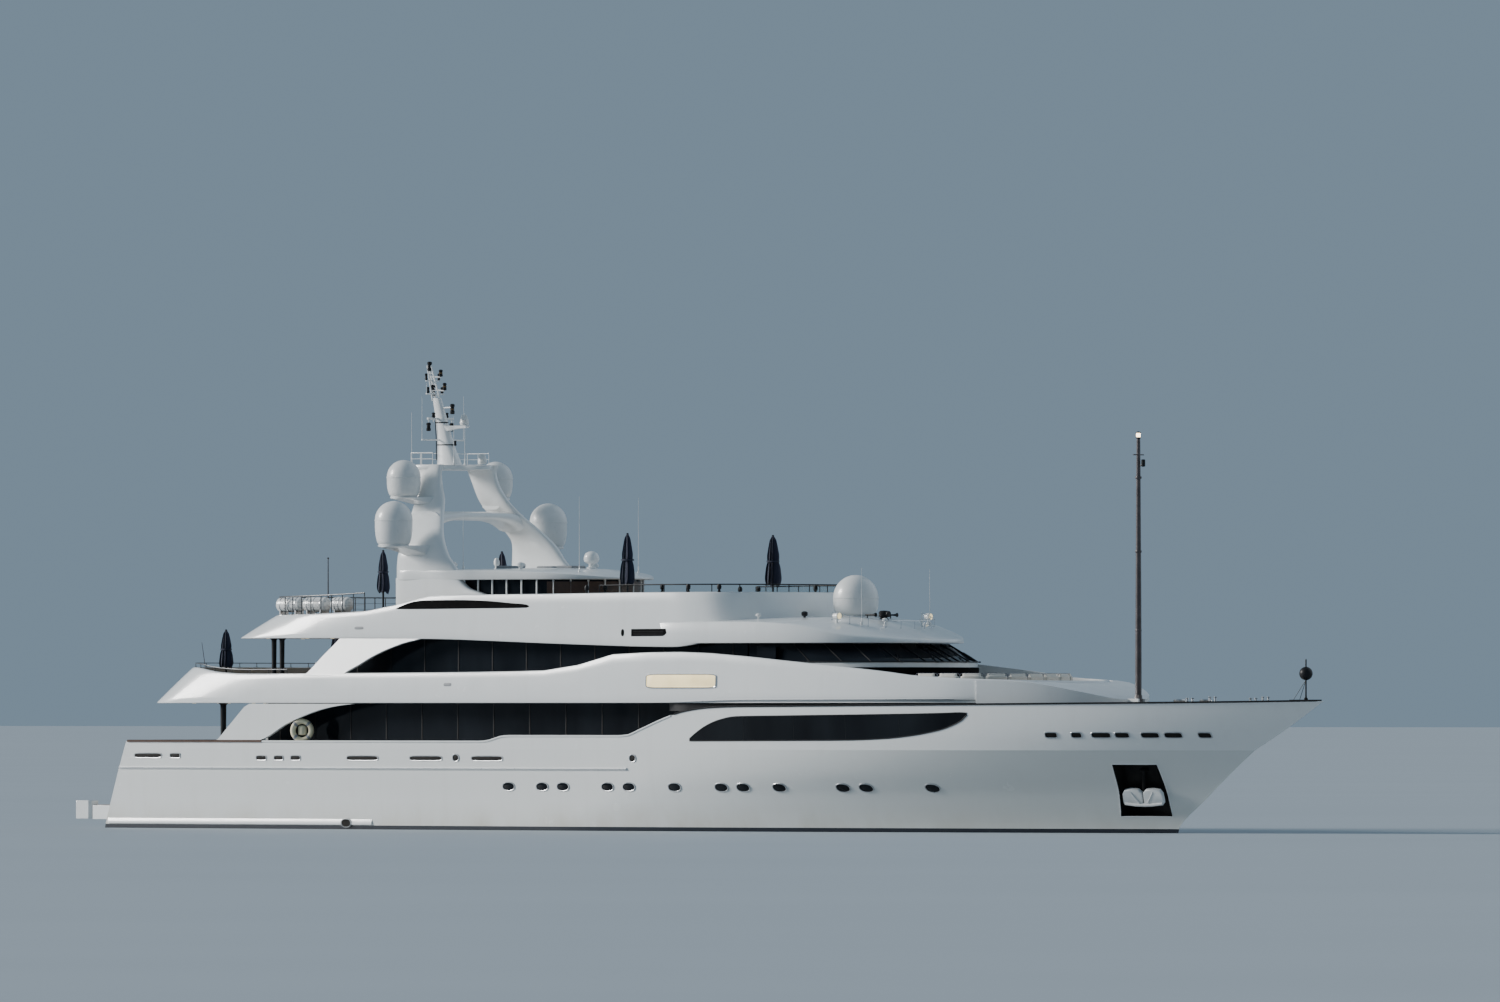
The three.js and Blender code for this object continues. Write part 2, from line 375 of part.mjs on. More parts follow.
const upperSide = join(upperOuter.subtract(upperWell).intersect(box(-40, 40, -9, -GAP, UPPER_DECK.floor + GAP, 9)), upperWing);
node("upper_bulwark_starboard", "white", upperSide);
node("upper_bulwark_port", "white", toPort(upperSide));

// Upper house: low walls with the full aft bulkhead, side glass and two sliding door leaves.
{
  const s = UPPER_HOUSE, z0 = UPPER_DECK.floor + GAP, z1 = SUN_DECK.under - GAP;
  const path = [[s.x1, -s.half], [s.x0, -s.half], [s.x0, s.half], [s.x1, s.half]].reverse();
  node("upper_house_walls", "white", wall(path, z0, path, s.sill, s.wall)
    .add(box(s.x0, s.x0 + s.wall, -s.half, s.half, z0, z1))
    .subtract(box(s.x0 - 1, s.x0 + 1, -s.door, s.door, 0, s.doorTop - 0.06)));
  const pane = box(s.x0 + s.wall + GAP, 2.9, -s.half + 0.02, -s.half + 0.1, s.sill + GAP, z1).add(box(2.8, s.x1, -s.half + 0.02, -s.half + 0.1, s.sill + GAP, 7.7));
  node("upper_glass_starboard", "glass", pane);
  node("upper_glass_port", "glass", toPort(pane));
  const leaf = box(s.x0 - 0.1, s.x0 - 0.03, -s.door - 0.08, -0.012, z0 + 0.03, s.doorTop);
  node("upper_door_starboard", "glass", leaf);
  node("upper_door_port", "glass", toPort(leaf));
}

// Wheelhouse: low wall and raked wrap-round windows, with a sliding wing door on each side.
{
  const w = WHEELHOUSE, z0 = UPPER_DECK.floor + GAP;
  const round = (half) => [...half.map(([x, y]) => [x, -y]), ...half.slice().reverse()];
  const doorway = box(w.doorX0, w.doorX1, -5, -3.5, 5, 7.56);
  const cut = (s) => s.subtract(doorway).subtract(toPort(doorway));
  const low = cut(wall(round(WHEEL_SILL), z0, round(WHEEL_SILL), w.sill, 0.12));
  node("wheelhouse_wall", "white", join(low, box(w.doorX0 - 0.1, w.doorX1 + 0.1, -4.2, 4.2, z0, 5.56)));
  node("wheelhouse_windows", "glass", cut(wall(round(WHEEL_SILL), w.sill + GAP, round(WHEEL_HEAD), w.top, 0.08)));
  const leaf = box(w.doorX0 - 0.06, w.doorX1 + 0.06, -4.42, -4.36, z0 + 0.03, 7.6);
  node("wing_door_starboard", "glass", leaf);
  node("wing_door_port", "glass", toPort(leaf));
}

// Foredeck trunk, sloping down to the mooring deck.
const cheek = box(21.4, FOREMAST.x + 0.2, -0.26, -0.18, FORE_DECK + GAP, FOREMAST.pivot + 0.2);
const trunk = planPrism(mirrored(TRUNK_PLAN), FORE_DECK + GAP, 7).intersect(sidePrism([...TRUNK_TOP, [22, 5.4], [22, 4.2], [16.8, 4.2]], -6, 6))
  .subtract(planPrism(mirrored(inset(UPPER_PLAN, -0.002, -0.002, -0.002)), 5.27, 9)).subtract(planPrism(mirrored(inset(skirtPlan.slice(0, skirtPlan.length / 2), -0.002, 0, -0.002)), 4, 8));
node("foredeck_trunk", "white", join(trunk, cheek, toPort(cheek)));

// Sun deck and wheelhouse roof: one slab, hollow under the lip along the side decks, with a bulwark and a raked screen across its fore end.
const sunOuter = planPrism(mirrored(SUN_PLAN), 7, 11).intersect(sidePrism([...SUN_TOP, ...SUN_UNDER], -8, 8));
const sunWellPlan = mirrored([...inset(SUN_PLAN.slice(0, 7), SUN_DECK.wall, 0.6, 0), [3.3, 4.8], [4.3, 3.95], [4.85, 3.0], [5.2, 1.6], [5.3, 0.5]]);
const ahead = (back, z0, z1) => planPrism(mirrored([...SUN_FRONT.map(([x, y]) => [x - back, y]), [3.8 - back, 6], [20, 6]]), z0, z1);
const lipPlan = mirrored([[-19.5, 4.9], [-18, 5.05], [1, 5.05], [3, 4.98]]);
node("sun_deck", "white", sunOuter.intersect(join(box(-40, 40, -9, 9, 0, SUN_DECK.floor), ahead(0, SUN_DECK.floor - 0.01, DOME_FORE.foot - GAP))).subtract(planPrism(lipPlan, 7, SUN_DECK.under))
  .add(moved(solid(lathe([[0, 8.1], [0.76, 8.1], [0.72, DOME_FORE.foot - GAP], [0, DOME_FORE.foot - GAP]], 20)), DOME_FORE.x, 0, 0)));
const sunSide = sunOuter.intersect(box(-40, 40, -9, -GAP, SUN_DECK.floor + GAP, 12)).subtract(planPrism(sunWellPlan, 8, 12)).subtract(ahead(GAP, 8, 12));
node("sun_bulwark_starboard", "white", sunSide);
node("sun_bulwark_port", "white", toPort(sunSide));

// Hardtop over the sun deck bar, carried aft by two side walls, and the wrap-round glass under its fore end.
const barWall = sidePrism([[HARDTOP.x0, SUN_DECK.floor + GAP], [-9.6, SUN_DECK.floor + GAP], [-9.6, 9.87], [-10.6, 10.0], [HARDTOP.wallX1, HARDTOP.under + 0.1], [HARDTOP.x0, HARDTOP.under + 0.1]], -HARDTOP.wallY, -HARDTOP.wallY + HARDTOP.wall);
const bulb = lathe([[0, 10.7], [0.2, 10.7], [0.22, 11.05], [0.3, 11.15], [0.33, 11.3], [0.27, 11.5], [0.14, 11.6], [0, 11.62]], 14);
node("hardtop", "white", join(planPrism(mirrored(HARDTOP_PLAN), HARDTOP.under, 11.5).intersect(sidePrism([[-14.8, 10.3], ...HARDTOP_EDGE, [-4.6, 10.3]], -5, 5)),
  barWall, toPort(barWall), moved(solid(bulb), -7.16, 0, 0)));
{
  const half = [[-11.2, 3.4], [-8.7, 3.15], [-7.2, 2.8], [-6.2, 2.1], [-5.55, 1.3], [-5.3, 0.45]];
  const path = [...half.map(([x, y]) => [x, -y]), ...half.slice().reverse()];
  node("bar_glass", "glass", wall(path, SUN_DECK.floor + GAP, path, HARDTOP.under - GAP, 0.06));
}

// Radar arch: two inclined legs, two cross beams, and outboard brackets that carry the domes.
const section = (z, x0, x1, y, t) => [[x0, y - t * 0.4], [x0 + 0.25, y - t], [x1 - 0.35, y - t], [x1, y - t * 0.3], [x1, y + t * 0.3], [x1 - 0.35, y + t], [x0 + 0.25, y + t], [x0, y + t * 0.4]].map(([a, b]) => [a, b, z]);
const leg = loft(LEG.map(([z, x0, x1, y, t]) => section(z, x0, x1, -y, t)));
const bracket = (x0, x1, y0, y1, z0, z1, deep) => loft([[y0, deep], [y1, 0.06]].map(([y, d]) => [[x0, -y, z1], [x1, -y, z1], [x1 - 0.2, -y, z1 - d], [x0 + 0.2, -y, z1 - d]]));
const oneSide = join(leg, bracket(-14.55, -13.05, 3.5, 5.55, 0, DOME_LOW.foot - GAP, 0.55), bracket(-15.6, -14.3, 1.9, 3.6, 0, DOME_HIGH.foot - GAP, 0.42));
const arch = join(oneSide, toPort(oneSide), box(-14.8, -13.3, -2.6, 2.6, 12.95, 13.33),
  planPrism(mirrored([[-15.7, 1.85], [-14.3, 1.85], [-14.1, 0.9], [-13.1, 0.45], [-12.85, 0.2]]), 15.08, 15.3));
node("radar_arch", "white", arch);

// Mast: raked tapered column with three yards and a bracket for the upper scanner.
const mastSection = (z, x0, x1, t) => [[x0, -t * 0.5], [x0 + (x1 - x0) * 0.3, -t], [x1 - (x1 - x0) * 0.3, -t], [x1, -t * 0.4], [x1, t * 0.4], [x1 - (x1 - x0) * 0.3, t], [x0 + (x1 - x0) * 0.3, t], [x0, t * 0.5]].map(([a, b]) => [a, b, z]);
const mast = join(
  loft([[15.3 + GAP, -15.6, -14.45, 0.36], [16.2, -15.62, -14.85, 0.24], [17.3, -15.75, -15.25, 0.16], [18.4, -15.95, -15.65, 0.11], [19.67, -16.25, -16.08, 0.06]].map((r) => mastSection(...r))),
  rod([-15.4, -1.35, 16.35], [-15.4, 1.35, 16.35], 0.04, 0.04, 8), rod([-15.55, -0.8, 17.25], [-15.55, 0.8, 17.25], 0.05, 0.05, 8), rod([-15.84, -0.55, 18.3], [-15.84, 0.55, 18.3], 0.04, 0.04, 8),
  box(-15.5, -14.05, -0.16, 0.16, 16.85, 16.95),
);
node("mast", "white", mast);
const SWING = (40 * Math.PI) / 180; // the bars rest turned this far from athwartships
const scanner = (x, z, halfLength) => join(
  moved(solid(lathe([[0, 0], [0.16, 0], [0.2, 0.1], [0.16, 0.26], [0, 0.26]], 12)), x, 0, z),
  loft([-halfLength, halfLength].map((y) => [[-0.1, 0.2], [0.1, 0.2], [0.13, 0.3], [0.1, 0.42], [-0.1, 0.42], [-0.13, 0.3]].map(([a, b]) => [x + a * Math.cos(SWING) - y * Math.sin(SWING), a * Math.sin(SWING) + y * Math.cos(SWING), z + b]))));
node("radar_scanner_lower", "dome", scanner(-13.2, 15.3 + 0.012, 1.1));
node("radar_scanner_upper", "dome", scanner(-14.2, 16.95 + 0.012, 0.8));

// Satellite domes.
const dome = (d) => {
  const rows = [[0, d.foot], [d.r * d.flare, d.foot], [d.r * (d.flare + 0.05), d.foot + 0.1], [d.r * 0.985, d.z - 0.4 * d.r]];
  for (let a = 0; a < 90; a += 15) rows.push([d.r * Math.cos((a * Math.PI) / 180), d.z + d.r * Math.sin((a * Math.PI) / 180)]);
  rows.push([0, d.z + d.r]);
  return moved(solid(lathe(rows, 20)), d.x, d.y, 0);
};
node("dome_lower_starboard", "dome", dome({ ...DOME_LOW, y: -DOME_LOW.y }));
node("dome_lower_port", "dome", dome(DOME_LOW));
node("dome_upper_starboard", "dome", dome({ ...DOME_HIGH, y: -DOME_HIGH.y }));
node("dome_upper_port", "dome", dome(DOME_HIGH));
node("dome_forward", "dome", dome(DOME_FORE));

// Foremast, hinged at its foot on the trunk, and the jackstaff on the bow with the anchor ball.
node("foremast", "dark", join(rod([FOREMAST.x, 0, FOREMAST.heel], [FOREMAST.x, 0, FOREMAST.top], 0.13, 0.075, 12), box(FOREMAST.x - 0.12, FOREMAST.x + 0.12, -0.12, 0.12, FOREMAST.heel, FOREMAST.pivot + 0.35)));
node("jackstaff", "dark", join(planPrism(mirrored([[30.2, 0.46], [30.9, 0.3], [31.5, 0.08]]), 5.365, 5.41), rod([30.67, 0, 5.4], [30.67, 0, 7.05], 0.035, 0.025, 8),
  moved(solid(new THREE.SphereGeometry(0.27 * MM, 12, 8)), 30.67, 0, 6.46)));

// Settees, one round the fore end of the foredeck lounge and one round the fore end of the sun deck: a seat with a back along its outer edge.
const settee = (outer, inner, back, z0, z1, z2) => {
  const open = (half, x) => planPrism(mirrored([[x, half[0][1]], ...half.slice(1)]), 4, 12);
  const ring = planPrism(mirrored(outer), z0 + GAP, z2).subtract(open(inner, outer[0][0] - 1));
  return ring.subtract(open(back, outer[0][0] - 1).intersect(box(-40, 40, -9, 9, z1, 12)));
};
node("foredeck_settee", "cushion", settee([[13.4, 3.9], [15.2, 3.5], [16.2, 3.0], [16.9, 2.2], [17.2, 1.2], [17.25, 0.4]],
  [[13.4, 2.9], [14.9, 2.6], [15.6, 2.2], [16.0, 1.6], [16.2, 0.9], [16.25, 0.3]],
  [[13.4, 3.6], [15.1, 3.22], [16.0, 2.75], [16.62, 2.05], [16.9, 1.1], [16.95, 0.35]], UPPER_DECK.floor, 6.0, 6.5));
node("sun_deck_settee", "cushion", settee([[1.4, 4.7], [3.2, 4.6], [4.1, 3.85], [4.65, 2.95], [5.0, 1.6], [5.1, 0.5]],
  [[1.4, 3.72], [2.85, 3.62], [3.35, 3.15], [3.75, 2.4], [4.02, 1.3], [4.08, 0.4]],
  [[1.4, 4.4], [3.05, 4.3], [3.85, 3.65], [4.36, 2.8], [4.7, 1.5], [4.8, 0.45]], SUN_DECK.floor, 8.68, 9.1));

// Closed parasols: base, pole, and the furled canopy from its hem to the tip.
const parasol = (x, y, z, h, hem, r) => moved(solid(lathe([
  [0, 0], [0.32, 0], [0.32, 0.09], [0.07, 0.14], [0.05, 0.2], [0.05, hem], [r * 0.8, hem], [r, hem + 0.25], [r * 0.84, hem + 0.38 * (h - hem)], [r * 0.62, hem + 0.72 * (h - hem)], [r * 0.38, hem + 0.93 * (h - hem)], [0.06, h - 0.03], [0, h]], 12)), x, y, z + GAP);
// columns: place, x, half spacing, deck, height, height of the hem, radius
for (const [place, x, y, z, h, hem, r] of [["upper_deck", -24.5, 3.5, UPPER_DECK.floor, 2.9, 1.3, 0.34], ["sun_deck_aft", -15.4, 3.8, SUN_DECK.floor, 3.5, 1.75, 0.32], ["sun_deck_fore", -1.2, 4.68, SUN_DECK.floor, 4.1, 2.0, 0.38]]) {
  node("parasol_" + place + "_starboard", "navy", parasol(x, -y, z, h, hem, r));
  node("parasol_" + place + "_port", "navy", parasol(x, y, z, h, hem, r));
}

export default group;
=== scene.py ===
import bpy, bmesh, json, math, random
from mathutils import Vector, Matrix


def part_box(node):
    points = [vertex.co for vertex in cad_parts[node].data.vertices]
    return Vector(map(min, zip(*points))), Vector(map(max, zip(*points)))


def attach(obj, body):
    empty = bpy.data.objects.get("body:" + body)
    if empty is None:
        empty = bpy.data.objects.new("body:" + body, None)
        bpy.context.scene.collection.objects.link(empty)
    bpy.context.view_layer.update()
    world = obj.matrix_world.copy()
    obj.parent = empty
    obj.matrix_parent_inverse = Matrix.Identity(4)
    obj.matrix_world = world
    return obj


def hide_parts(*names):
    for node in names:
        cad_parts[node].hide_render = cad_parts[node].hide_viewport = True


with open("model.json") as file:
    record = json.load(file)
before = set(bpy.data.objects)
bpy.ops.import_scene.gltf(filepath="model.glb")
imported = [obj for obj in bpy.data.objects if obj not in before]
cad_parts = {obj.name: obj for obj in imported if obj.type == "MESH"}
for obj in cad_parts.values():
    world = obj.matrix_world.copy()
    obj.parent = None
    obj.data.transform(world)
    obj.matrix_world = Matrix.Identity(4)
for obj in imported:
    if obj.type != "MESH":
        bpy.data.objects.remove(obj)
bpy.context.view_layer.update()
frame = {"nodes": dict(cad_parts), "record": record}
K = 0.5  # model metres for each metre of ship; every length below is in metres of ship
NODES = frame["nodes"]
SLOT = {s["node"]: s["material_slot"] for s in frame["record"]["subparts"]}
BODY = {n: b for b, ns in frame["record"]["behaviour"]["bodies"].items() for n in ns}
COLL = bpy.context.scene.collection

# ---------------------------------------------------------------- camera
TH, FOC, D0, UC, EYE = math.radians(40), 4000.0, 663.4, 1.13, 5.03
cam = bpy.data.cameras.new("photo_camera")
cam_ob = bpy.data.objects.new("photo_camera", cam)
COLL.objects.link(cam_ob)
st, ct = math.sin(TH), math.cos(TH)
cam_ob.location = Vector((D0 * st + UC * ct, -D0 * ct + UC * st, EYE)) * K
cam_ob.rotation_euler = Vector((-st, ct, math.tan(math.radians(0.745)))).to_track_quat("-Z", "Y").to_euler()
cam.sensor_width = 36
cam.lens = 36 * FOC * 4 / 1500
cam.clip_start, cam.clip_end = 5, 6000
bpy.context.scene.camera = cam_ob


# ---------------------------------------------------------------- materials
class Graph:
    def __init__(self, name, color, rough, metal=0.0, **consts):
        self.m = bpy.data.materials.new(name)
        self.m.use_nodes = True
        self.nt = self.m.node_tree
        self.b = self.nt.nodes["Principled BSDF"]
        self.b.inputs["Base Color"].default_value = (*color, 1)
        self.b.inputs["Roughness"].default_value = rough
        self.b.inputs["Metallic"].default_value = metal
        for k, v in consts.items():
            self.b.inputs[k.replace("_", " ")].default_value = v
        self.tc = self.nt.nodes.new("ShaderNodeTexCoord")
        self.obj = self.tc.outputs["Object"]

    def node(self, kind, **kw):
        n = self.nt.nodes.new(kind)
        for k, v in kw.items():
            setattr(n, k, v)
        return n

    def put(self, socket, value):
        if isinstance(value, bpy.types.NodeSocket):
            self.nt.links.new(value, socket)
        else:
            socket.default_value = value

    def math(self, op, a, b=0.0, clamp=False):
        n = self.node("ShaderNodeMath", operation=op, use_clamp=clamp)
        self.put(n.inputs[0], a)
        self.put(n.inputs[1], b)
        return n.outputs[0]

    def axis(self, k, vec=None):
        n = self.node("ShaderNodeSeparateXYZ")
        self.put(n.inputs[0], vec or self.obj)
        return n.outputs[k]

    def scaled(self, x, y, z):
        n = self.node("ShaderNodeMapping")
        self.put(n.inputs["Vector"], self.obj)
        n.inputs["Scale"].default_value = (x, y, z)
        return n.outputs[0]

    def noise(self, scale, detail=3.0, rough=0.5, vec=None):
        n = self.node("ShaderNodeTexNoise")
        self.put(n.inputs["Vector"], vec or self.obj)
        n.inputs["Scale"].default_value = scale
        n.inputs["Detail"].default_value = detail
        n.inputs["Roughness"].default_value = rough
        return n.outputs["Fac"]

    def ramp(self, fac, lo, hi, a=0.0, b=1.0):
        n = self.node("ShaderNodeMapRange")
        n.clamp = True
        self.put(n.inputs["Value"], fac)
        n.inputs["From Min"].default_value = lo
        n.inputs["From Max"].default_value = hi
        n.inputs["To Min"].default_value = a
        n.inputs["To Max"].default_value = b
        return n.outputs["Result"]

    def mix(self, fac, a, b):
        n = self.node("ShaderNodeMix", data_type="RGBA")
        self.put(n.inputs[0], fac)
        self.put(n.inputs[6], a if isinstance(a, bpy.types.NodeSocket) else (*a, 1))
        self.put(n.inputs[7], b if isinstance(b, bpy.types.NodeSocket) else (*b, 1))
        return n.outputs[2]

    def bump(self, height, strength, distance):
        n = self.node("ShaderNodeBump")
        n.inputs["Strength"].default_value = strength
        n.inputs["Distance"].default_value = distance
        self.put(n.inputs["Height"], height)
        self.put(self.b.inputs["Normal"], n.outputs[0])

    def color(self, s):
        self.put(self.b.inputs["Base Color"], s)

    def rough(self, s):
        self.put(self.b.inputs["Roughness"], s)


M = {}


def paint(name, base, dark, hull=False):
    g = Graph(name, base, 0.22, Coat_Weight=0.35, Coat_Roughness=0.08)
    cloud = g.noise(0.35, 4)
    c = g.mix(g.ramp(cloud, 0.35, 0.7), base, dark)
    streak = g.math("MULTIPLY", g.ramp(g.noise(1.0, 4, 0.6, g.scaled(3.2, 3.2, 0.22)), 0.52, 0.78), 0.16)
    c = g.mix(streak, c, (0.60, 0.59, 0.55))
    c = g.mix(g.ramp(g.noise(22, 5, 0.7), 0.6, 0.85, 0, 0.025), c, (0.5, 0.49, 0.46))
    r = g.ramp(g.noise(3.0, 4), 0.3, 0.75, 0.2, 0.28)
    if hull:
        z = g.axis(2)
        # tide mark above the boot top, painted shade below the knuckle, the boot top itself and the bottom paint under
        # it
        wobble = g.math("MULTIPLY", g.noise(0.8, 3), 0.02)
        tide = g.math("MULTIPLY", g.ramp(g.math("ADD", z, wobble), 0.62, 0.10), g.ramp(g.noise(1.2, 4, 0.6, g.scaled(1, 1, 0.5)), 0.35, 0.75, 0.15, 0.8))
        c = g.mix(tide, c, (0.55, 0.51, 0.42))
        # painted shade: below the knuckle the white is darkened, more so towards the bow, where the flare faces down
        low = g.math("MULTIPLY", g.ramp(z, 1.683, 1.677), g.ramp(g.axis(0), 0.0, 9.0, 0.12, 0.6))
        c = g.mix(low, c, (0.62, 0.64, 0.61))
        under = g.ramp(z, 0.0862, 0.0838)
        c = g.mix(under, c, (0.012, 0.016, 0.026))
        fouling = g.mix(g.ramp(g.noise(5, 5, 0.7), 0.35, 0.7), (0.018, 0.028, 0.055), (0.035, 0.05, 0.075))
        c = g.mix(g.ramp(z, -0.10, -0.105), c, fouling)
        r = g.math("ADD", r, g.ramp(z, -0.10, -0.105, 0, 0.35))
    g.color(c)
    g.rough(r)
    g.bump(g.noise(1.1, 2), 0.03, 0.01)
    return g.m


M["white_paint"] = paint("white_topside_enamel", (0.80, 0.81, 0.80), (0.775, 0.787, 0.78))
M["hull_paint"] = paint("white_hull_enamel", (0.79, 0.80, 0.785), (0.76, 0.772, 0.76), hull=True)


def inner_paint():
    g = Graph("white_deck_paint", (0.72, 0.73, 0.72), 0.45)
    g.color(g.mix(g.ramp(g.noise(1.4, 5), 0.3, 0.75), (0.76, 0.77, 0.76), (0.64, 0.65, 0.63)))
    g.rough(g.ramp(g.noise(6, 3), 0.3, 0.8, 0.35, 0.6))
    g.bump(g.noise(60, 3), 0.08, 0.004)
    return g.m


M["inner_paint"] = inner_paint()


def plain(name, a, b, rough, metal=0.0, scale=6.0, bump=0.0, fine=80, **kw):
    g = Graph(name, a, rough, metal, **kw)
    g.color(g.mix(g.ramp(g.noise(scale, 4), 0.3, 0.75), a, b))
    g.rough(g.ramp(g.noise(scale * 3, 4), 0.3, 0.8, max(rough - 0.06, 0.02), rough + 0.1))
    if bump:
        g.bump(g.noise(fine, 3), bump, 0.004)
    return g.m


M["bottom_paint"] = plain("antifouling", (0.018, 0.028, 0.055), (0.04, 0.055, 0.08), 0.6, scale=5, bump=0.2)
M["steel"] = plain("satin_steel", (0.58, 0.59, 0.60), (0.44, 0.45, 0.46), 0.32, 1.0, scale=9, bump=0.1)
M["chrome"] = plain("polished_stainless", (0.74, 0.75, 0.76), (0.62, 0.63, 0.64), 0.14, 1.0, scale=12)
M["bronze"] = plain("bronze", (0.50, 0.33, 0.14), (0.28, 0.26, 0.15), 0.3, 1.0, scale=7, bump=0.1)
M["dark_trim"] = plain("black_trim", (0.012, 0.012, 0.013), (0.020, 0.020, 0.022), 0.42, scale=8, Specular_IOR_Level=0.2)
M["rail_dark"] = plain("grey_stanchions", (0.10, 0.105, 0.11), (0.16, 0.165, 0.17), 0.35, 0.6, scale=9)
M["lens_dim"] = plain("amber_lens", (0.10, 0.06, 0.025), (0.16, 0.10, 0.04), 0.15, scale=6, bump=0.1)
# near-black with little specular: painted shade, for recesses and openings that are only laid on a surface
M["painted_shade_black"] = plain("painted_recess_shade", (0.003, 0.003, 0.003), (0.006, 0.006, 0.006), 0.8, scale=5, bump=0.1, Specular_IOR_Level=0.05)
M["dark_spar"] = plain("brown_spar_paint", (0.060, 0.048, 0.048), (0.105, 0.086, 0.086), 0.38, scale=5, bump=0.1)
M["dome_plastic"] = plain("dome_gelcoat", (0.80, 0.80, 0.78), (0.72, 0.725, 0.71), 0.32, scale=2.5, bump=0.04, Coat_Weight=0.2)
M["grey"] = plain("locker_grey", (0.32, 0.33, 0.34), (0.22, 0.23, 0.24), 0.6, scale=4, bump=0.1)
# near-black: painted shade, inside the anchor pockets and hull slots and on the anchor shanks
M["pocket"] = plain("pocket_painted_shade", (0.006, 0.006, 0.006), (0.016, 0.014, 0.012), 0.6, scale=5, bump=0.2, Specular_IOR_Level=0.15)
M["anchor"] = plain("white_anchor_paint", (0.80, 0.81, 0.80), (0.68, 0.68, 0.65), 0.4, scale=6, bump=0.2)
M["red_glass"] = plain("red_lens", (0.35, 0.01, 0.01), (0.25, 0.01, 0.01), 0.12, scale=4)
M["green_glass"] = plain("green_lens", (0.01, 0.22, 0.06), (0.01, 0.16, 0.05), 0.12, scale=4)
M["stove_brown"] = plain("walnut_panel", (0.085, 0.040, 0.022), (0.045, 0.022, 0.014), 0.4, scale=7, bump=0.08)


def glass(name, a, b):
    g = Graph(name, a, 0.05, Specular_IOR_Level=0.13)
    g.color(g.mix(g.ramp(g.noise(0.9, 3, 0.5, g.scaled(1.0, 1.0, 0.4)), 0.35, 0.75), a, b))
    g.rough(g.ramp(g.noise(2.2, 2), 0.3, 0.8, 0.03, 0.08))
    g.bump(g.noise(0.7, 1), 0.03, 0.02)
    return g.m


M["dark_glass"] = glass("dark_glazing", (0.006, 0.008, 0.011), (0.016, 0.020, 0.026))
M["hull_glass"] = glass("hull_glazing", (0.005, 0.006, 0.008), (0.013, 0.016, 0.020))


def teak():
    g = Graph("teak_planking", (0.36, 0.24, 0.14), 0.6)
    w = 0.05
    y = g.math("DIVIDE", g.axis(1), w)
    plank = g.node("ShaderNodeTexWhiteNoise", noise_dimensions="1D")
    g.put(plank.inputs["W"], g.math("FLOOR", y))
    grain = g.noise(9, 5, 0.65, g.scaled(0.35, 9, 1))
    c = g.mix(plank.outputs["Value"], (0.40, 0.28, 0.17), (0.31, 0.21, 0.125))
    c = g.mix(g.ramp(grain, 0.35, 0.75), c, (0.24, 0.16, 0.10))
    edge = g.math("ABSOLUTE", g.math("SUBTRACT", g.math("FRACT", y), 0.5))
    seam = g.ramp(edge, 0.44, 0.47)
    c = g.mix(seam, c, (0.02, 0.018, 0.016))
    g.color(c)
    g.rough(g.ramp(grain, 0.3, 0.8, 0.5, 0.75))
    g.bump(g.math("SUBTRACT", grain, seam), 0.25, 0.004)
    return g.m


M["teak"] = teak()


def cloth(name, a, b, weave, sheen):
    g = Graph(name, a, 0.9, Sheen_Weight=sheen, Sheen_Roughness=0.5)
    wx = g.node("ShaderNodeTexWave", wave_type="BANDS", bands_direction="X")
    wx.inputs["Scale"].default_value = weave
    wz = g.node("ShaderNodeTexWave", wave_type="BANDS", bands_direction="Z")
    wz.inputs["Scale"].default_value = weave
    g.put(wx.inputs["Vector"], g.obj)
    g.put(wz.inputs["Vector"], g.obj)
    mesh = g.math("MULTIPLY", wx.outputs["Fac"], wz.outputs["Fac"])
    c = g.mix(g.ramp(g.noise(3.5, 5), 0.3, 0.75), a, b)
    c = g.mix(g.ramp(mesh, 0.0, 1.0, 0.0, 0.35), c, tuple(min(1, v * 1.7) for v in a))
    g.color(c)
    g.rough(g.ramp(g.noise(8, 3), 0.3, 0.8, 0.8, 0.97))
    g.bump(mesh, 0.35, 0.004)
    return g.m


M["navy_fabric"] = cloth("navy_acrylic", (0.010, 0.013, 0.034), (0.017, 0.021, 0.048), 60, 0.25)
M["cushion_fabric"] = cloth("cream_outdoor_fabric", (0.68, 0.65, 0.58), (0.60, 0.57, 0.50), 60, 0.3)


def lit(name, color, strength):
    g = Graph(name, color, 0.3)
    g.b.inputs["Emission Strength"].default_value = strength
    warm = g.mix(g.ramp(g.noise(3, 2), 0.3, 0.75), color, tuple(c * 0.8 for c in color))
    g.color(warm)
    g.put(g.b.inputs["Emission Color"], warm)
    return g.m


M["lamp"] = lit("lit_lens", (1.0, 0.82, 0.45), 1.1)
M["lamp_bright"] = lit("masthead_lamp", (1.0, 0.80, 0.55), 6.0)
M["cream"] = plain("cream_foam", (0.78, 0.72, 0.50), (0.70, 0.62, 0.42), 0.55, scale=5, bump=0.1)


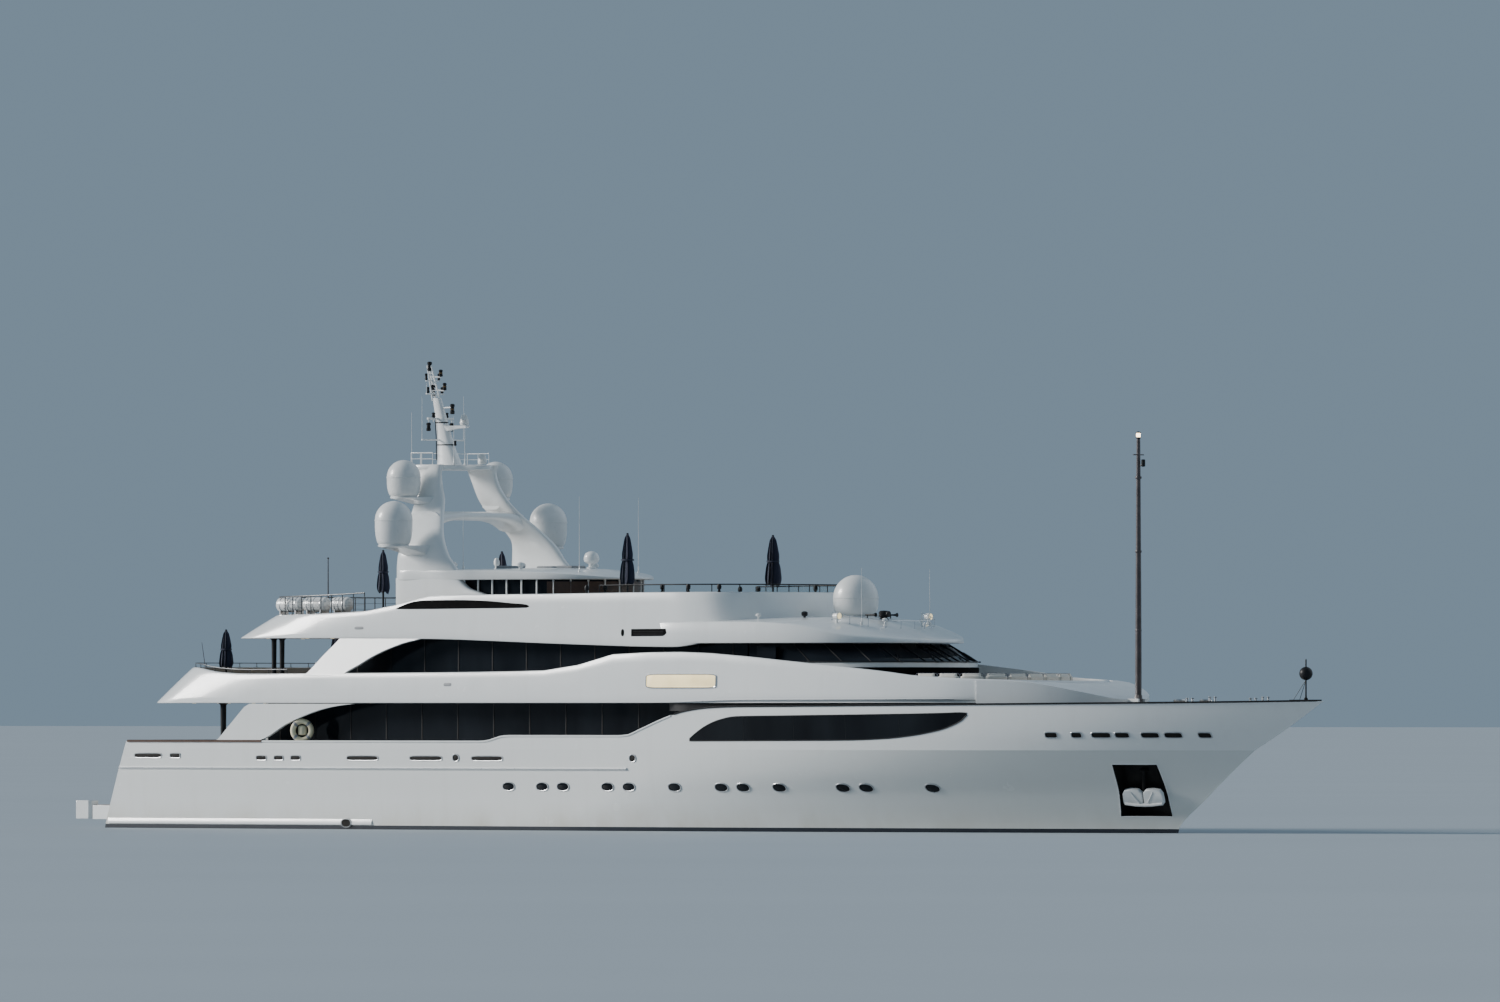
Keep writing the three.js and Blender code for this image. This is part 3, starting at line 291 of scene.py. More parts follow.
# ---------------------------------------------------------------- curves and tables
def table(pts, smooth=True):
    """Value along x through the points: monotone cubic, or straight lines."""
    xs, ys = [p[0] for p in pts], [p[1] for p in pts]
    n = len(xs)
    h = [xs[i + 1] - xs[i] for i in range(n - 1)]
    d = [(ys[i + 1] - ys[i]) / h[i] for i in range(n - 1)]
    m = [d[0]] + [0.0] * (n - 2) + [d[-1]]
    for i in range(1, n - 1):
        if d[i - 1] * d[i] > 0:
            a, b = 2 * h[i] + h[i - 1], h[i] + 2 * h[i - 1]
            m[i] = (a + b) / (a / d[i - 1] + b / d[i])

    def f(x):
        if x <= xs[0]:
            return ys[0]
        if x >= xs[-1]:
            return ys[-1]
        i = 0
        while x > xs[i + 1]:
            i += 1
        t = (x - xs[i]) / h[i]
        if not smooth:
            return ys[i] + (ys[i + 1] - ys[i]) * t
        return (2 * t**3 - 3 * t**2 + 1) * ys[i] + (t**3 - 2 * t**2 + t) * h[i] * m[i] + (3 * t**2 - 2 * t**3) * ys[i + 1] + (t**3 - t**2) * h[i] * m[i + 1]

    return f


def spline(pts, per=6):
    """Centripetal curve through the points, with per points for each of their spans."""
    P = [Vector(p) for p in pts]
    P = [2 * P[0] - P[1]] + P + [2 * P[-1] - P[-2]]
    out = []
    for i in range(1, len(P) - 2):
        p0, p1, p2, p3 = P[i - 1 : i + 3]
        t0 = 0.0
        t1 = t0 + max((p1 - p0).length, 1e-6) ** 0.5
        t2 = t1 + max((p2 - p1).length, 1e-6) ** 0.5
        t3 = t2 + max((p3 - p2).length, 1e-6) ** 0.5
        for k in range(per):
            t = t1 + (t2 - t1) * k / per
            a1 = p0 * ((t1 - t) / (t1 - t0)) + p1 * ((t - t0) / (t1 - t0))
            a2 = p1 * ((t2 - t) / (t2 - t1)) + p2 * ((t - t1) / (t2 - t1))
            a3 = p2 * ((t3 - t) / (t3 - t2)) + p3 * ((t - t2) / (t3 - t2))
            b1 = a1 * ((t2 - t) / (t2 - t0)) + a2 * ((t - t0) / (t2 - t0))
            b2 = a2 * ((t3 - t) / (t3 - t1)) + a3 * ((t - t1) / (t3 - t1))
            out.append(b1 * ((t2 - t) / (t2 - t1)) + b2 * ((t - t1) / (t2 - t1)))
    out.append(P[-2])
    return out


def loop_of(half):
    """Closed plan from a half that starts and ends on the centreline."""
    return [(p[0], p[1]) for p in half] + [(p[0], -p[1]) for p in reversed(half[1:-1])]


def out_normals(loop):
    n = len(loop)
    res = []
    for i in range(n):
        a, b = loop[i - 1], loop[(i + 1) % n]
        t = Vector((b[0] - a[0], b[1] - a[1]))
        t = t.normalized() if t.length > 1e-9 else Vector((1, 0))
        res.append((-t.y, t.x))
    return res


# ---------------------------------------------------------------- mesh tools
class Build:
    """Collects simple solids in metres of ship, and makes one piece of them."""

    def __init__(self):
        self.v, self.f, self.fm, self.mi = [], [], [], 0

    def add(self, verts, faces):
        o = len(self.v)
        self.v += [tuple(v) for v in verts]
        self.f += [tuple(i + o for i in f) for f in faces]
        self.fm += [self.mi] * len(faces)
        return self

    def rings(self, rings, closed=False, caps=True):
        n = len(rings[0])
        verts = [v for r in rings for v in r]
        faces = []
        m = len(rings)
        for k in range(m if closed else m - 1):
            a, b = k * n, ((k + 1) % m) * n
            faces += [(a + i, a + (i + 1) % n, b + (i + 1) % n, b + i) for i in range(n)]
        if caps and not closed:
            faces += [tuple(reversed(range(n))), tuple(range((m - 1) * n, m * n))]
        return self.add(verts, faces)

    def tube(self, path, r, sides=8, closed=False, r2=None):
        P = [Vector(p) for p in path]
        n = len(P)
        rings = []
        ref = None
        for i in range(n):
            a = P[(i - 1) % n] if closed or i else P[0]
            b = P[(i + 1) % n] if closed or i < n - 1 else P[-1]
            t = (b - a).normalized()
            if ref is None:
                ref = Vector((0, 0, 1)) if abs(t.z) < 0.9 else Vector((1, 0, 0))
            s = t.cross(ref)
            s = s.normalized() if s.length > 1e-6 else t.orthogonal().normalized()
            u = s.cross(t)
            rr = r if r2 is None else r + (r2 - r) * i / (n - 1)
            rings.append([P[i] + (s * math.cos(q) + u * math.sin(q)) * rr for q in (2 * math.pi * j / sides for j in range(sides))])
        return self.rings(rings, closed)

    def sweep(self, path, profile, closed=False):
        """profile: (out, up) pairs; out is level, to the left of the path."""
        P = [Vector(p) for p in path]
        n = len(P)
        rings = []
        for i in range(n):
            a = P[(i - 1) % n] if closed or i else P[0]
            b = P[(i + 1) % n] if closed or i < n - 1 else P[-1]
            t = b - a
            s = Vector((-t.y, t.x, 0))
            s = s.normalized() if s.length > 1e-9 else Vector((0, 1, 0))
            rings.append([P[i] + s * o + Vector((0, 0, 1)) * u for o, u in profile])
        return self.rings(rings, closed)

    def box(self, x0, x1, y0, y1, z0, z1):
        v = [(x, y, z) for z in (z0, z1) for y in (y0, y1) for x in (x0, x1)]
        return self.add(v, [(0, 2, 3, 1), (4, 5, 7, 6), (0, 1, 5, 4), (2, 6, 7, 3), (0, 4, 6, 2), (1, 3, 7, 5)])

    def lathe(self, profile, at, sides=24, axis="z"):
        x, y, z = at
        rings = []
        for r, h in profile:
            ring = []
            for j in range(sides):
                q = 2 * math.pi * j / sides
                a, b = max(r, 0.0004) * math.cos(q), max(r, 0.0004) * math.sin(q)
                ring.append({"z": (x + a, y + b, z + h), "x": (x + h, y + a, z + b), "y": (x + b, y + h, z + a)}[axis])
            rings.append(ring)
        return self.rings(rings)

    def prism(self, outline, fn0, fn1):
        """Solid between two placements of one flat outline."""
        return self.rings([[fn0(*p) for p in outline], [fn1(*p) for p in outline]])

    def piece(self, name, mats, slot, body="ship", replaces=(), angle=35, bevel=0.0, seg=2, limit=30, merge=True):
        me = bpy.data.meshes.new(name)
        me.from_pydata([(x * K, y * K, z * K) for x, y, z in self.v], [], self.f)
        me.polygons.foreach_set("material_index", self.fm)
        return settle(name, me, mats, slot, body, replaces, angle, bevel, seg, limit, merge)


def settle(name, me, mats, slot, body="ship", replaces=(), angle=35, bevel=0.0, seg=2, limit=30, merge=True, recalc=True):
    bm = bmesh.new()
    bm.from_mesh(me)
    if merge:
        bmesh.ops.remove_doubles(bm, verts=bm.verts, dist=2e-5)
        bmesh.ops.dissolve_degenerate(bm, edges=bm.edges, dist=1e-6)
    if recalc:
        bmesh.ops.recalc_face_normals(bm, faces=bm.faces)
    lim = math.radians(angle)
    for f in bm.faces:
        f.smooth = True
    for e in bm.edges:
        e.smooth = not (len(e.link_faces) == 2 and e.calc_face_angle(0) > lim)
    bm.to_mesh(me)
    bm.free()
    for m in mats if isinstance(mats, (list, tuple)) else [mats]:
        me.materials.append(M[m])
    ob = bpy.data.objects.new(name, me)
    COLL.objects.link(ob)
    if bevel:
        b = ob.modifiers.new("edges", "BEVEL")
        b.width, b.segments, b.limit_method, b.angle_limit = bevel * K, seg, "ANGLE", math.radians(limit)
        b.harden_normals = False
        b.use_clamp_overlap = True
    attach(ob, body)
    if replaces:
        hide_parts(*([replaces] if isinstance(replaces, str) else replaces))
    {"pocket": "dark_trim", "grey": "dark_trim", "tinted": "dark_glass", "cream": "lamp"}.get(slot, slot)
    return ob


def refine(node, mat, name=None, bevel=0.012, angle=32, seg=2, limit=30):
    """A finer piece from a CAD node's own mesh: welded, flat faces joined and edges eased."""
    me = NODES[node].data.copy()
    me.materials.clear()
    bm = bmesh.new()
    bm.from_mesh(me)
    bmesh.ops.remove_doubles(bm, verts=bm.verts, dist=1e-5)
    bmesh.ops.dissolve_limit(bm, angle_limit=math.radians(0.6), verts=bm.verts, edges=bm.edges)
    for f in bm.faces:
        f.material_index = 0
    bm.to_mesh(me)
    bm.free()
    return settle(name or node + "_finished", me, mat, SLOT[node], BODY[node], node, angle, bevel, seg, limit)


def cut(base, cutters):
    for c in cutters:
        m = base.modifiers.new("cut", "BOOLEAN")
        m.operation, m.solver, m.object = "DIFFERENCE", "EXACT", c
        m.material_mode = "INDEX"
    dg = bpy.context.evaluated_depsgraph_get()
    me = bpy.data.meshes.new_from_object(base.evaluated_get(dg))
    for o in [base, *cutters]:
        d = o.data
        bpy.data.objects.remove(o)
        bpy.data.meshes.remove(d)
    return me


def raw(name, b, slots=6):
    me = bpy.data.meshes.new(name)
    me.from_pydata([(x * K, y * K, z * K) for x, y, z in b.v], [], b.f)
    me.polygons.foreach_set("material_index", b.fm)
    bm = bmesh.new()
    bm.from_mesh(me)
    bmesh.ops.remove_doubles(bm, verts=bm.verts, dist=1e-6)
    bmesh.ops.recalc_face_normals(bm, faces=bm.faces)
    bm.to_mesh(me)
    bm.free()
    for _ in range(slots):
        me.materials.append(None)
    ob = bpy.data.objects.new(name, me)
    COLL.objects.link(ob)
    return ob


# ---------------------------------------------------------------- hull form
MAIN_DECK, FORE_DECK, RAISED_X = 2.6, 4.35, 4.0
LINES = [
    (-3.3, 17.0, -6.0, 0.45, 6.0, 1.6, 4.0, 0.1), (-3.05, 21.8, -9.5, 1.9, 4.0, 1.45, 0.0, 0.08), (-2.5, 24.0, -14.0, 3.9, 2.0, 1.35, -2.0, 0.08),
    (-1.8, 24.9, -19.5, 4.9, 0.0, 1.35, -4.0, 0.12), (-1.0, 24.5, -25.0, 5.32, -2.0, 1.42, -8.0, 0.38), (-0.45, 24.1, -29.95, 5.43, -3.0, 1.5, -12.0, 0.86),
    (0.0, 24.1, -29.95, 5.5, -4.0, 1.6, -14.0, 0.93), (1.43, 25.6, -29.39, 5.58, -2.0, 1.85, -14.0, 0.94), (2.5, 26.9, -28.98, 5.66, 0.0, 2.35, -14.0, 0.94),
    (3.36, 28.05, -28.64, 5.69, 1.5, 2.75, -14.0, 0.94), (4.07, 29.4, -28.36, 5.7, 2.5, 2.6, -14.0, 0.94), (5.4, 31.66, -27.84, 5.7, 4.0, 2.3, -14.0, 0.94),
]
LOW = [table([(r[0], r[k]) for r in LINES if r[0] <= 3.36]) for k in range(1, 8)]
HIGH = [table([(r[0], r[k]) for r in LINES if r[0] >= 3.36]) for k in range(1, 8)]


def level(z):
    return [f(z) for f in (LOW if z <= 3.36 else HIGH)]


def transom(z):
    return -29.95 + 0.39 * z


def half(x, z, lv=None):
    stem, aft, B, xf, p, xr, r = lv or level(z)
    if z >= -0.45:
        aft = transom(max(z, 0.0)) if z > 0 else -29.95
    if x >= stem:
        return 0.0
    if x > xf:
        return B * (1 - ((x - xf) / (stem - xf)) ** p)
    if x < xr:
        return B * (1 - (1 - r) * min(1, (xr - x) / (xr - aft)) ** 2)
    return B


def skin_normal(x, z, side, ref=None):
    """Outward normal; ref is the height of the face asking, so that the knuckle stays crisp."""
    T = LOW if (z if ref is None else ref) <= 3.36 else HIGH
    e = 0.05
    z0, z1 = (min(z - e, 3.36 - 2 * e), min(z + e, 3.36)) if T is LOW else (max(z - e, 3.36), max(z + e, 3.36 + 2 * e))
    lv, l0, l1 = ([f(v) for f in T] for v in (z, z0, z1))
    xx = min(x, lv[0] - 0.12)
    dx = (half(xx + e, z, lv) - half(xx - e, z, lv)) / (2 * e)
    dz = (half(xx, z1, l1) - half(xx, z0, l0)) / (z1 - z0)
    return Vector((-dx, side, -dz)).normalized()


def on_hull(x, z, side, out=0.0):
    """A point on the hull side, moved outwards."""
    n = skin_normal(x, z, side)
    return Vector((x, side * half(x, z), z)) + n * out


SHEER = [(-28.9, 3.67), (-8.1, 3.67), (-7.1, 3.91), (-0.35, 3.91), (0.3, 4.2), (1.55, 4.6), (2.7, 4.92), (4.0, 5.1), (8.3, 5.14), (21.5, 5.26), (28.0, 5.3), (31.9, 5.36)]
sheer = table([(-28.9, 3.67), (-8.4, 3.67), (-8.1, 3.685), (-7.1, 3.895), (-6.8, 3.91), (-0.8, 3.91), (-0.35, 3.94), (0.3, 4.16), (1.55, 4.6), (2.7, 4.92), (4.0, 5.07), (5.5, 5.12), (8.3, 5.14), (21.5, 5.24), (28.0, 5.3), (31.9, 5.36)])


def body_rings(levels, us, d=0.0, e=0.0, top=None):
    out = []
    for z in levels:
        lv = level(z)
        stem, aft = lv[0], lv[1]
        if z > -0.45:
            aft = transom(z) if z > 0 else -29.95
        port = []
        for u in us:
            x = stem - u * (stem - aft)
            port.append((stem - 1.8 * e - u * (stem - aft - 2.8 * e), max(half(x, z, lv) - d, 0.012), z))
        out.append(port + [(x, -y, z) for x, y, z in reversed(port)])
    return out


def make_hull():
    n = 84
    us = sorted({round((i / n) ** 1.45, 6) for i in range(n + 1)} | {0.97, 0.985, 0.995})
    zs = [-3.3, -3.2, -3.05, -2.8, -2.5, -2.15, -1.8, -1.4, -1.0, -0.72, -0.45, -0.2, 0, 0.25, 0.5, 0.8, 1.1, 1.43, 1.75, 2.1, 2.5, 2.8, 3.1, 3.36, 3.55, 3.8, 4.07, 4.35, 4.65, 4.95, 5.2, 5.4]
    b = Build()
    b.rings(body_rings(zs, us))
    hull = raw("hull_raw", b)
    # hollow above the main deck, and above the foredeck
    cutters = []
    ring_aft, ring_fore = [], []
    for z in (MAIN_DECK, 3.0, 3.36, 3.8, 4.3, 4.9, 5.4, 5.9):
        lv = level(min(z, 5.4))
        stem, aft = lv[0], transom(z)
        xs = [aft + 0.2 + (RAISED_X - aft - 0.2) * (i / 40) for i in range(41)]
        port = [(x, max(half(x, min(z, 5.4), lv) - 0.16, 0.05), z) for x in xs]
        ring_aft.append(port + [(x, -y, z) for x, y, z in reversed(port)])
    for z in (FORE_DECK, 4.6, 4.9, 5.2, 5.4, 5.9):
        lv = level(min(z, 5.4))
        stem = lv[0]
        x1 = stem - 0.42
        xs = [RAISED_X - 0.02 + (x1 - RAISED_X) * (1 - (1 - i / 50) ** 1.5) for i in range(51)]
        port = [(x, max(half(min(x * 1.0, stem - 0.02), min(z, 5.4), lv) - 0.16, 0.02), z) for x in xs]
        ring_fore.append(port + [(x, -y, z) for x, y, z in reversed(port)])
    for rings in (ring_aft, ring_fore):
        c = Build()
        c.mi = 1
        c.rings(rings)
        c.fm[-2] = c.fm[-1] = 2
        cutters.append(raw("hollow", c))
    # everything above the sheer, with the sweep plate left standing
    blade = spline([(-15.4, 5.25), (-16.5, 5.14), (-17.6, 4.92), (-19.2, 4.40), (-20.3, 3.86), (-20.9, 3.67)], 6)
    outline = [(-40, 3.67), (-23.4, 3.67), (-23.1, 3.78), (-21.6, 5.12), (-21.3, 5.25)] + [tuple(p) for p in blade]
    x = -20.5
    while x < 32.2:
        outline.append((x, sheer(x)))
        x += 0.25 if -9 < x < 6 else 1.0
    outline += [(40, 5.4), (40, 7.5), (-40, 7.5)]
    c = Build()
    c.mi = 1
    c.prism(outline, lambda x, z: (x, -8, z), lambda x, z: (x, 8, z))
    cutters.append(raw("above", c))
    # stern stairs
    prof = [(-31.0, 0.95)]
    for i in range(9):
        x1 = -29.4 + 0.28 * (i + 1) + (0.3 if i == 8 else 0)
        z = min(0.95 + 0.206 * i, MAIN_DECK)
        prof += [(prof[-1][0], z), (x1, z)]
    prof += [(prof[-1][0], 4.4), (-31.0, 4.4)]
    for s in (-1, 1):
        c = Build()
        c.mi = 1
        c.prism(prof, lambda x, z: (x, s * 3.6, z), lambda x, z: (x, s * 4.7, z))
        cutters.append(raw("stairs", c))
    # stern locker behind its door
    c = Build()
    c.mi = 3
    c.prism([(transom(1.12) - 0.4, 1.12), (transom(1.12) + 2.4, 1.12), (transom(1.12) + 2.4, 2.42), (transom(2.42) - 0.4, 2.42)], lambda x, z: (x, -2.5, z), lambda x, z: (x, 2.5, z))
    cutters.append(raw("locker", c))
    # anchor pockets, lined in near-black pocket material that paints the shade inside them
    for s in (-1, 1):
        c = Build()
        c.mi = 4
        q = [(21.85, 0.67, 0.16), (24.0, 0.67, 0.1), (24.2, 2.8, 0.95), (22.43, 2.8, 1.45)]
        c.rings([[(x, s * y, z) for x, z, y in q], [(x, s * 4.6, z) for x, z, y in q]])
        cutters.append(raw("pocket", c))
    me = cut(hull, cutters)
    kinds = [p.material_index for p in me.polygons]
    me.materials.clear()
    for m in ("hull_paint", "inner_paint", "teak", "grey", "pocket"):
        me.materials.append(M[m])
    me.polygons.foreach_set("material_index", kinds)
    bm = bmesh.new()
    bm.from_mesh(me)
    bmesh.ops.remove_doubles(bm, verts=bm.verts, dist=5e-6)
    bmesh.ops.dissolve_degenerate(bm, edges=bm.edges, dist=1e-6)
    # treads are planked, and the shelf over the stairs too
    for f in bm.faces:
        c = f.calc_center_median() / K
        if f.material_index == 1 and f.normal.z > 0.9 and c.x < -26.5 and 3.6 < abs(c.y) < 4.7 and c.z < 2.65:
            f.material_index = 2
        f.smooth = True
    bmesh.ops.triangulate(bm, faces=[f for f in bm.faces if len(f.verts) > 4])
    bm.to_mesh(me)
    bm.free()
    normals = []
    for poly in me.polygons:
        fn, mid = poly.normal, poly.center.z / K
        for li in poly.loop_indices:
            co = me.vertices[me.loops[li].vertex_index].co / K
            n = fn
            if poly.material_index in (0, 1) and abs(co.y) > 0.013:
                a = skin_normal(co.x, min(max(co.z, -3.28), 5.38), 1 if co.y > 0 else -1, mid)
                if poly.material_index == 1:
                    a = -a
                if a.dot(fn) > (0.82 if poly.material_index == 0 else 0.9):
                    n = a
            normals.append(tuple(n))
    me.normals_split_custom_set(normals)
    ob = bpy.data.objects.new("hull_shell", me)
    COLL.objects.link(ob)
    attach(ob, "ship")
    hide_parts("hull", "bulwark_aft_starboard", "bulwark_aft_port", "bulwark_fore_starboard", "bulwark_fore_port", "transom_bulwark")
    return ob


make_hull()


def both(fn):
    for side, tag in ((-1, "starboard"), (1, "port")):
        fn(side, tag)


def patch(b, x0, x1, top, bottom, side, place, nx=40, nz=3, lift=0.012, deep=0.03):
    """A thin panel between two edges, laid on a surface given by place(x, z, side, out)."""
    grid, back = [], []
    for i in range(nx + 1):
        x = x0 + (x1 - x0) * i / nx
        zt, zb = top(x), bottom(x)
        for j in range(nz + 1):
            z = zb + (zt - zb) * j / nz
            grid.append(place(x, z, side, lift))
            back.append(place(x, z, side, -deep))
    w = nz + 1
    n = len(grid)
    faces = []
    for i in range(nx):
        for j in range(nz):
            a, bb, c, d = i * w + j, (i + 1) * w + j, (i + 1) * w + j + 1, i * w + j + 1
            faces += [(a, bb, c, d), (n + a, n + d, n + c, n + bb)]
        faces += [(i * w, n + i * w, n + (i + 1) * w, (i + 1) * w), (i * w + nz, (i + 1) * w + nz, n + (i + 1) * w + nz, n + i * w + nz)]
    for j in range(nz):
        faces += [(j, j + 1, n + j + 1, n + j), (nx * w + j, n + nx * w + j, n + nx * w + j + 1, nx * w + j + 1)]
    b.add(grid + back, faces)


def oval(b, x, z, w, h, side, place, lift, deep, power=3.0, n=20, ring=None):
    """A rounded panel, or a frame of the given width, laid on a surface."""
    def edge(k, out):
        pts = []
        for i in range(n):
            q = 2 * math.pi * i / n
            c, s = math.cos(q), math.sin(q)
            pts.append(place(x + math.copysign(abs(c) ** (2 / power), c) * (w / 2 + k), z + math.copysign(abs(s) ** (2 / power), s) * (h / 2 + k), side, out))
        return pts
    if ring:
        b.rings([edge(0, -deep), edge(0, lift * 0.8), edge(ring * 0.3, lift), edge(ring * 0.7, lift), edge(ring, lift * 0.6), edge(ring, -deep)], closed=True)
    else:
        b.rings([edge(0, -deep), edge(0, lift * 0.6), edge(-0.015, lift)])


def hull_fittings():
    # forward hull windows
    top = table([(3.02, 3.79), (3.4, 4.05), (3.9, 4.32), (4.6, 4.56), (5.46, 4.70), (8, 4.735), (12, 4.78), (15.8, 4.84), (16.55, 4.865), (16.87, 4.85)])
    bot = table([(3.02, 3.74), (8, 3.765), (11.17, 3.785), (13.0, 3.85), (13.97, 3.935), (15.0, 4.08), (15.79, 4.25), (16.3, 4.43), (16.7, 4.64), (16.87, 4.80)])
    def win(side, tag):
        b = Build()
        patch(b, 3.02, 16.87, top, bot, side, on_hull, 56, 4, 0.012, 0.05)
        b.piece(f"hull_window_{tag}", "hull_glass", "dark_glass")
        f = Build()
        xs = [3.02 + (16.87 - 3.02) * i / 56 for i in range(57)]
        path = [on_hull(x, top(x) + 0.02, side, 0.01) for x in xs] + [on_hull(x, bot(x) - 0.02, side, 0.01) for x in reversed(xs)]
        f.tube(path, 0.022, 6, closed=True)
        for x in (5.9, 8.5, 11.1, 13.7):
            f.tube([on_hull(x, bot(x), side, 0.013), on_hull(x, top(x), side, 0.013)], 0.009, 6)
        f.piece(f"hull_window_frame_{tag}", "dark_trim", "dark_trim")
    both(win)
    holes = (-6.87, -5.04, -3.9, -1.48, -0.33, 2.07, 4.45, 5.53, 7.3, 10.3, 11.37, 14.35)
    def ports(side, tag):
        r, g = Build(), Build()
        for x in holes:
            oval(r, x, 1.82, 0.60, 0.31, side, on_hull, 0.035, 0.02, 2.3, 28, ring=0.04)
            oval(g, x, 1.82, 0.60, 0.31, side, on_hull, 0.014, 0.02, 2.3, 28)
        r.piece(f"porthole_frames_{tag}", "steel", "steel")
        g.piece(f"porthole_glass_{tag}", "hull_glass", "dark_glass")
    both(ports)
    slots = [(-27.99, -26.43), (-25.9, -25.33), (-20.89, -20.34), (-19.87, -19.38), (-18.92, -18.4), (-15.75, -14.05), (-12.25, -10.51), (-8.84, -7.17)]
    bow = [(20.22, 20.71), (21.32, 21.72), (22.15, 22.9), (23.1, 23.64), (24.13, 24.81), (25.04, 25.7), (26.33, 26.8)]
    def slot_row(side, tag):
        # d holds near-black ovals for the slots and openings, painted shade inside them; f holds their steel frames
        d, f = Build(), Build()
        for a, c in slots:
            z = 3.07 if c < -25 else 2.98
            oval(d, (a + c) / 2, z, c - a, 0.17, side, on_hull, 0.012, 0.03, 5, 28)
            oval(f, (a + c) / 2, z, c - a, 0.17, side, on_hull, 0.03, 0.02, 5, 28, ring=0.035)
        for x in (-9.72, -0.07):
            oval(d, x, 3.0, 0.3, 0.26, side, on_hull, 0.012, 0.03, 2.4, 20)
            oval(f, x, 3.0, 0.3, 0.26, side, on_hull, 0.035, 0.02, 2.4, 20, ring=0.04)
        for a, c in bow:
            oval(d, (a + c) / 2, 3.98, c - a, 0.19, side, on_hull, 0.012, 0.03, 5, 28)
            oval(f, (a + c) / 2, 3.98, c - a, 0.19, side, on_hull, 0.03, 0.02, 5, 28, ring=0.035)
        oval(d, -15.9, 0.27, 0.5, 0.3, side, on_hull, 0.075, 0.03, 2.4, 20)
        oval(f, -15.9, 0.27, 0.5, 0.3, side, on_hull, 0.09, 0.02, 2.4, 20, ring=0.04)
        k = Build()
        xs = [-29.7 + 15.2 * i / 40 for i in range(41)]
        k.sweep([on_hull(x, 0.33, side, 0.0) for x in xs], [(-0.05 * side, -0.13), (0.055 * side, -0.13), (0.06 * side, -0.06), (0.005 * side, 0.10), (-0.05 * side, 0.11)])
        k.piece(f"stern_strake_{tag}", "white_paint", "white_paint")
        d.piece(f"hull_slots_{tag}", "pocket", "dark_trim")
        f.piece(f"hull_slot_frames_{tag}", "steel", "steel")
        rub = Build()
        xs = [-28.9 + (28.5) * i / 70 for i in range(71)]
        rub.sweep([on_hull(x, 2.56, side, 0.0) for x in xs], [(-0.06 * side, -0.06), (0.05 * side, -0.05), (0.075 * side, 0), (0.05 * side, 0.05), (-0.06 * side, 0.06)])
        rub.piece(f"rub_rail_{tag}", "white_paint", "white_paint")
        strip = Build()
        strip.tube([on_hull(x, 2.56, side, 0.075) for x in xs], 0.016, 6)
        strip.piece(f"rub_rail_strip_{tag}", "steel", "steel")
    both(slot_row)
    # anchor pocket lip
    def lip(side, tag):
        q = [(21.85, 0.67), (24.0, 0.67), (24.2, 2.8), (22.43, 2.8)]
        path = []
        for i in range(4):
            a, c = q[i], q[(i + 1) % 4]
            for k in range(10):
                t = k / 10
                path.append(on_hull(a[0] + (c[0] - a[0]) * t, a[1] + (c[1] - a[1]) * t, side, 0.0))
        b = Build()
        b.tube(path, 0.022, 8, closed=True)
        b.piece(f"anchor_pocket_lip_{tag}", "white_paint", "white_paint")
    both(lip)
    # capping along the bulwarks: dark forward, white aft; the dark capping stands both for the cap rail and, as painted
    # shadow, for the dark line under the upper deck band
    def caps(side, tag):
        b = Build()
        xs = [2.2 + 29.1 * i / 90 for i in range(91)]
        path = [Vector((x, side * max(half(x, sheer(x)) - 0.08, 0.02), sheer(x) + 0.012)) for x in xs]
        b.sweep(path, [(-0.115 * side, -0.03), (-0.12 * side, 0.01), (-0.09 * side, 0.045), (0.09 * side, 0.045), (0.12 * side, 0.01), (0.115 * side, -0.03)])
        b.piece(f"bow_capping_{tag}", "dark_trim", "dark_trim")
        b = Build()
        xs = [-20.6 + 22.6 * i / 80 for i in range(81)]
        b.sweep([Vector((x, side * (half(x, sheer(x)) - 0.08), sheer(x))) for x in xs], [(-0.12 * side, -0.02), (-0.12 * side, 0.02), (-0.09 * side, 0.045), (0.09 * side, 0.045), (0.12 * side, 0.02), (0.12 * side, -0.02)])
        b.piece(f"bulwark_capping_{tag}", "white_paint", "white_paint")
    both(caps)


hull_fittings()


# ---------------------------------------------------------------- decks
def deck_band(name, B, T, zb, zt, floor, thick, mats, slot, replaces, per=5, lean=None):
    """Closed bulwark ring with eased edges, leaning from the lower plan B to the upper plan T."""
    lo, hi = loop_of(spline(B, per)), loop_of(spline(T, per))
    nlo, nhi = out_normals(lo), out_normals(hi)
    n = len(lo)
    def at(i, z, out, zb_, zt_):
        f = min(max((z - zb_) / (zt_ - zb_), 0), 1)
        nx, ny = nlo[i][0] * (1 - f) + nhi[i][0] * f, nlo[i][1] * (1 - f) + nhi[i][1] * f
        l = math.hypot(nx, ny) or 1
        return (lo[i][0] * (1 - f) + hi[i][0] * f + nx / l * out, lo[i][1] * (1 - f) + hi[i][1] * f + ny / l * out, z)
    rings = []
    for i in range(n):
        b0, t0 = zb(lo[i][0]), zt(hi[i][0])
        h = t0 - b0
        sec = [(b0, -0.06), (b0 + 0.012, -0.02), (b0 + 0.05, 0.0)]
        sec += [(b0 + h * q, 0.02 * math.sin(math.pi * q)) for q in (0.2, 0.4, 0.6, 0.8)]
        sec += [(t0 - 0.06, 0.0), (t0 - 0.018, -0.018), (t0, -0.06), (t0, -thick + 0.05), (t0 - 0.015, -thick + 0.012), (t0 - 0.05, -thick), (max(floor, b0 + 0.1), -thick - 0.02), (b0, -thick - 0.02)]
        rings.append([at(i, z, o, b0, t0) for z, o in sec])
    b = Build()
    b.rings(rings, closed=True)
    return b.piece(name, mats, slot, replaces=replaces, angle=40)


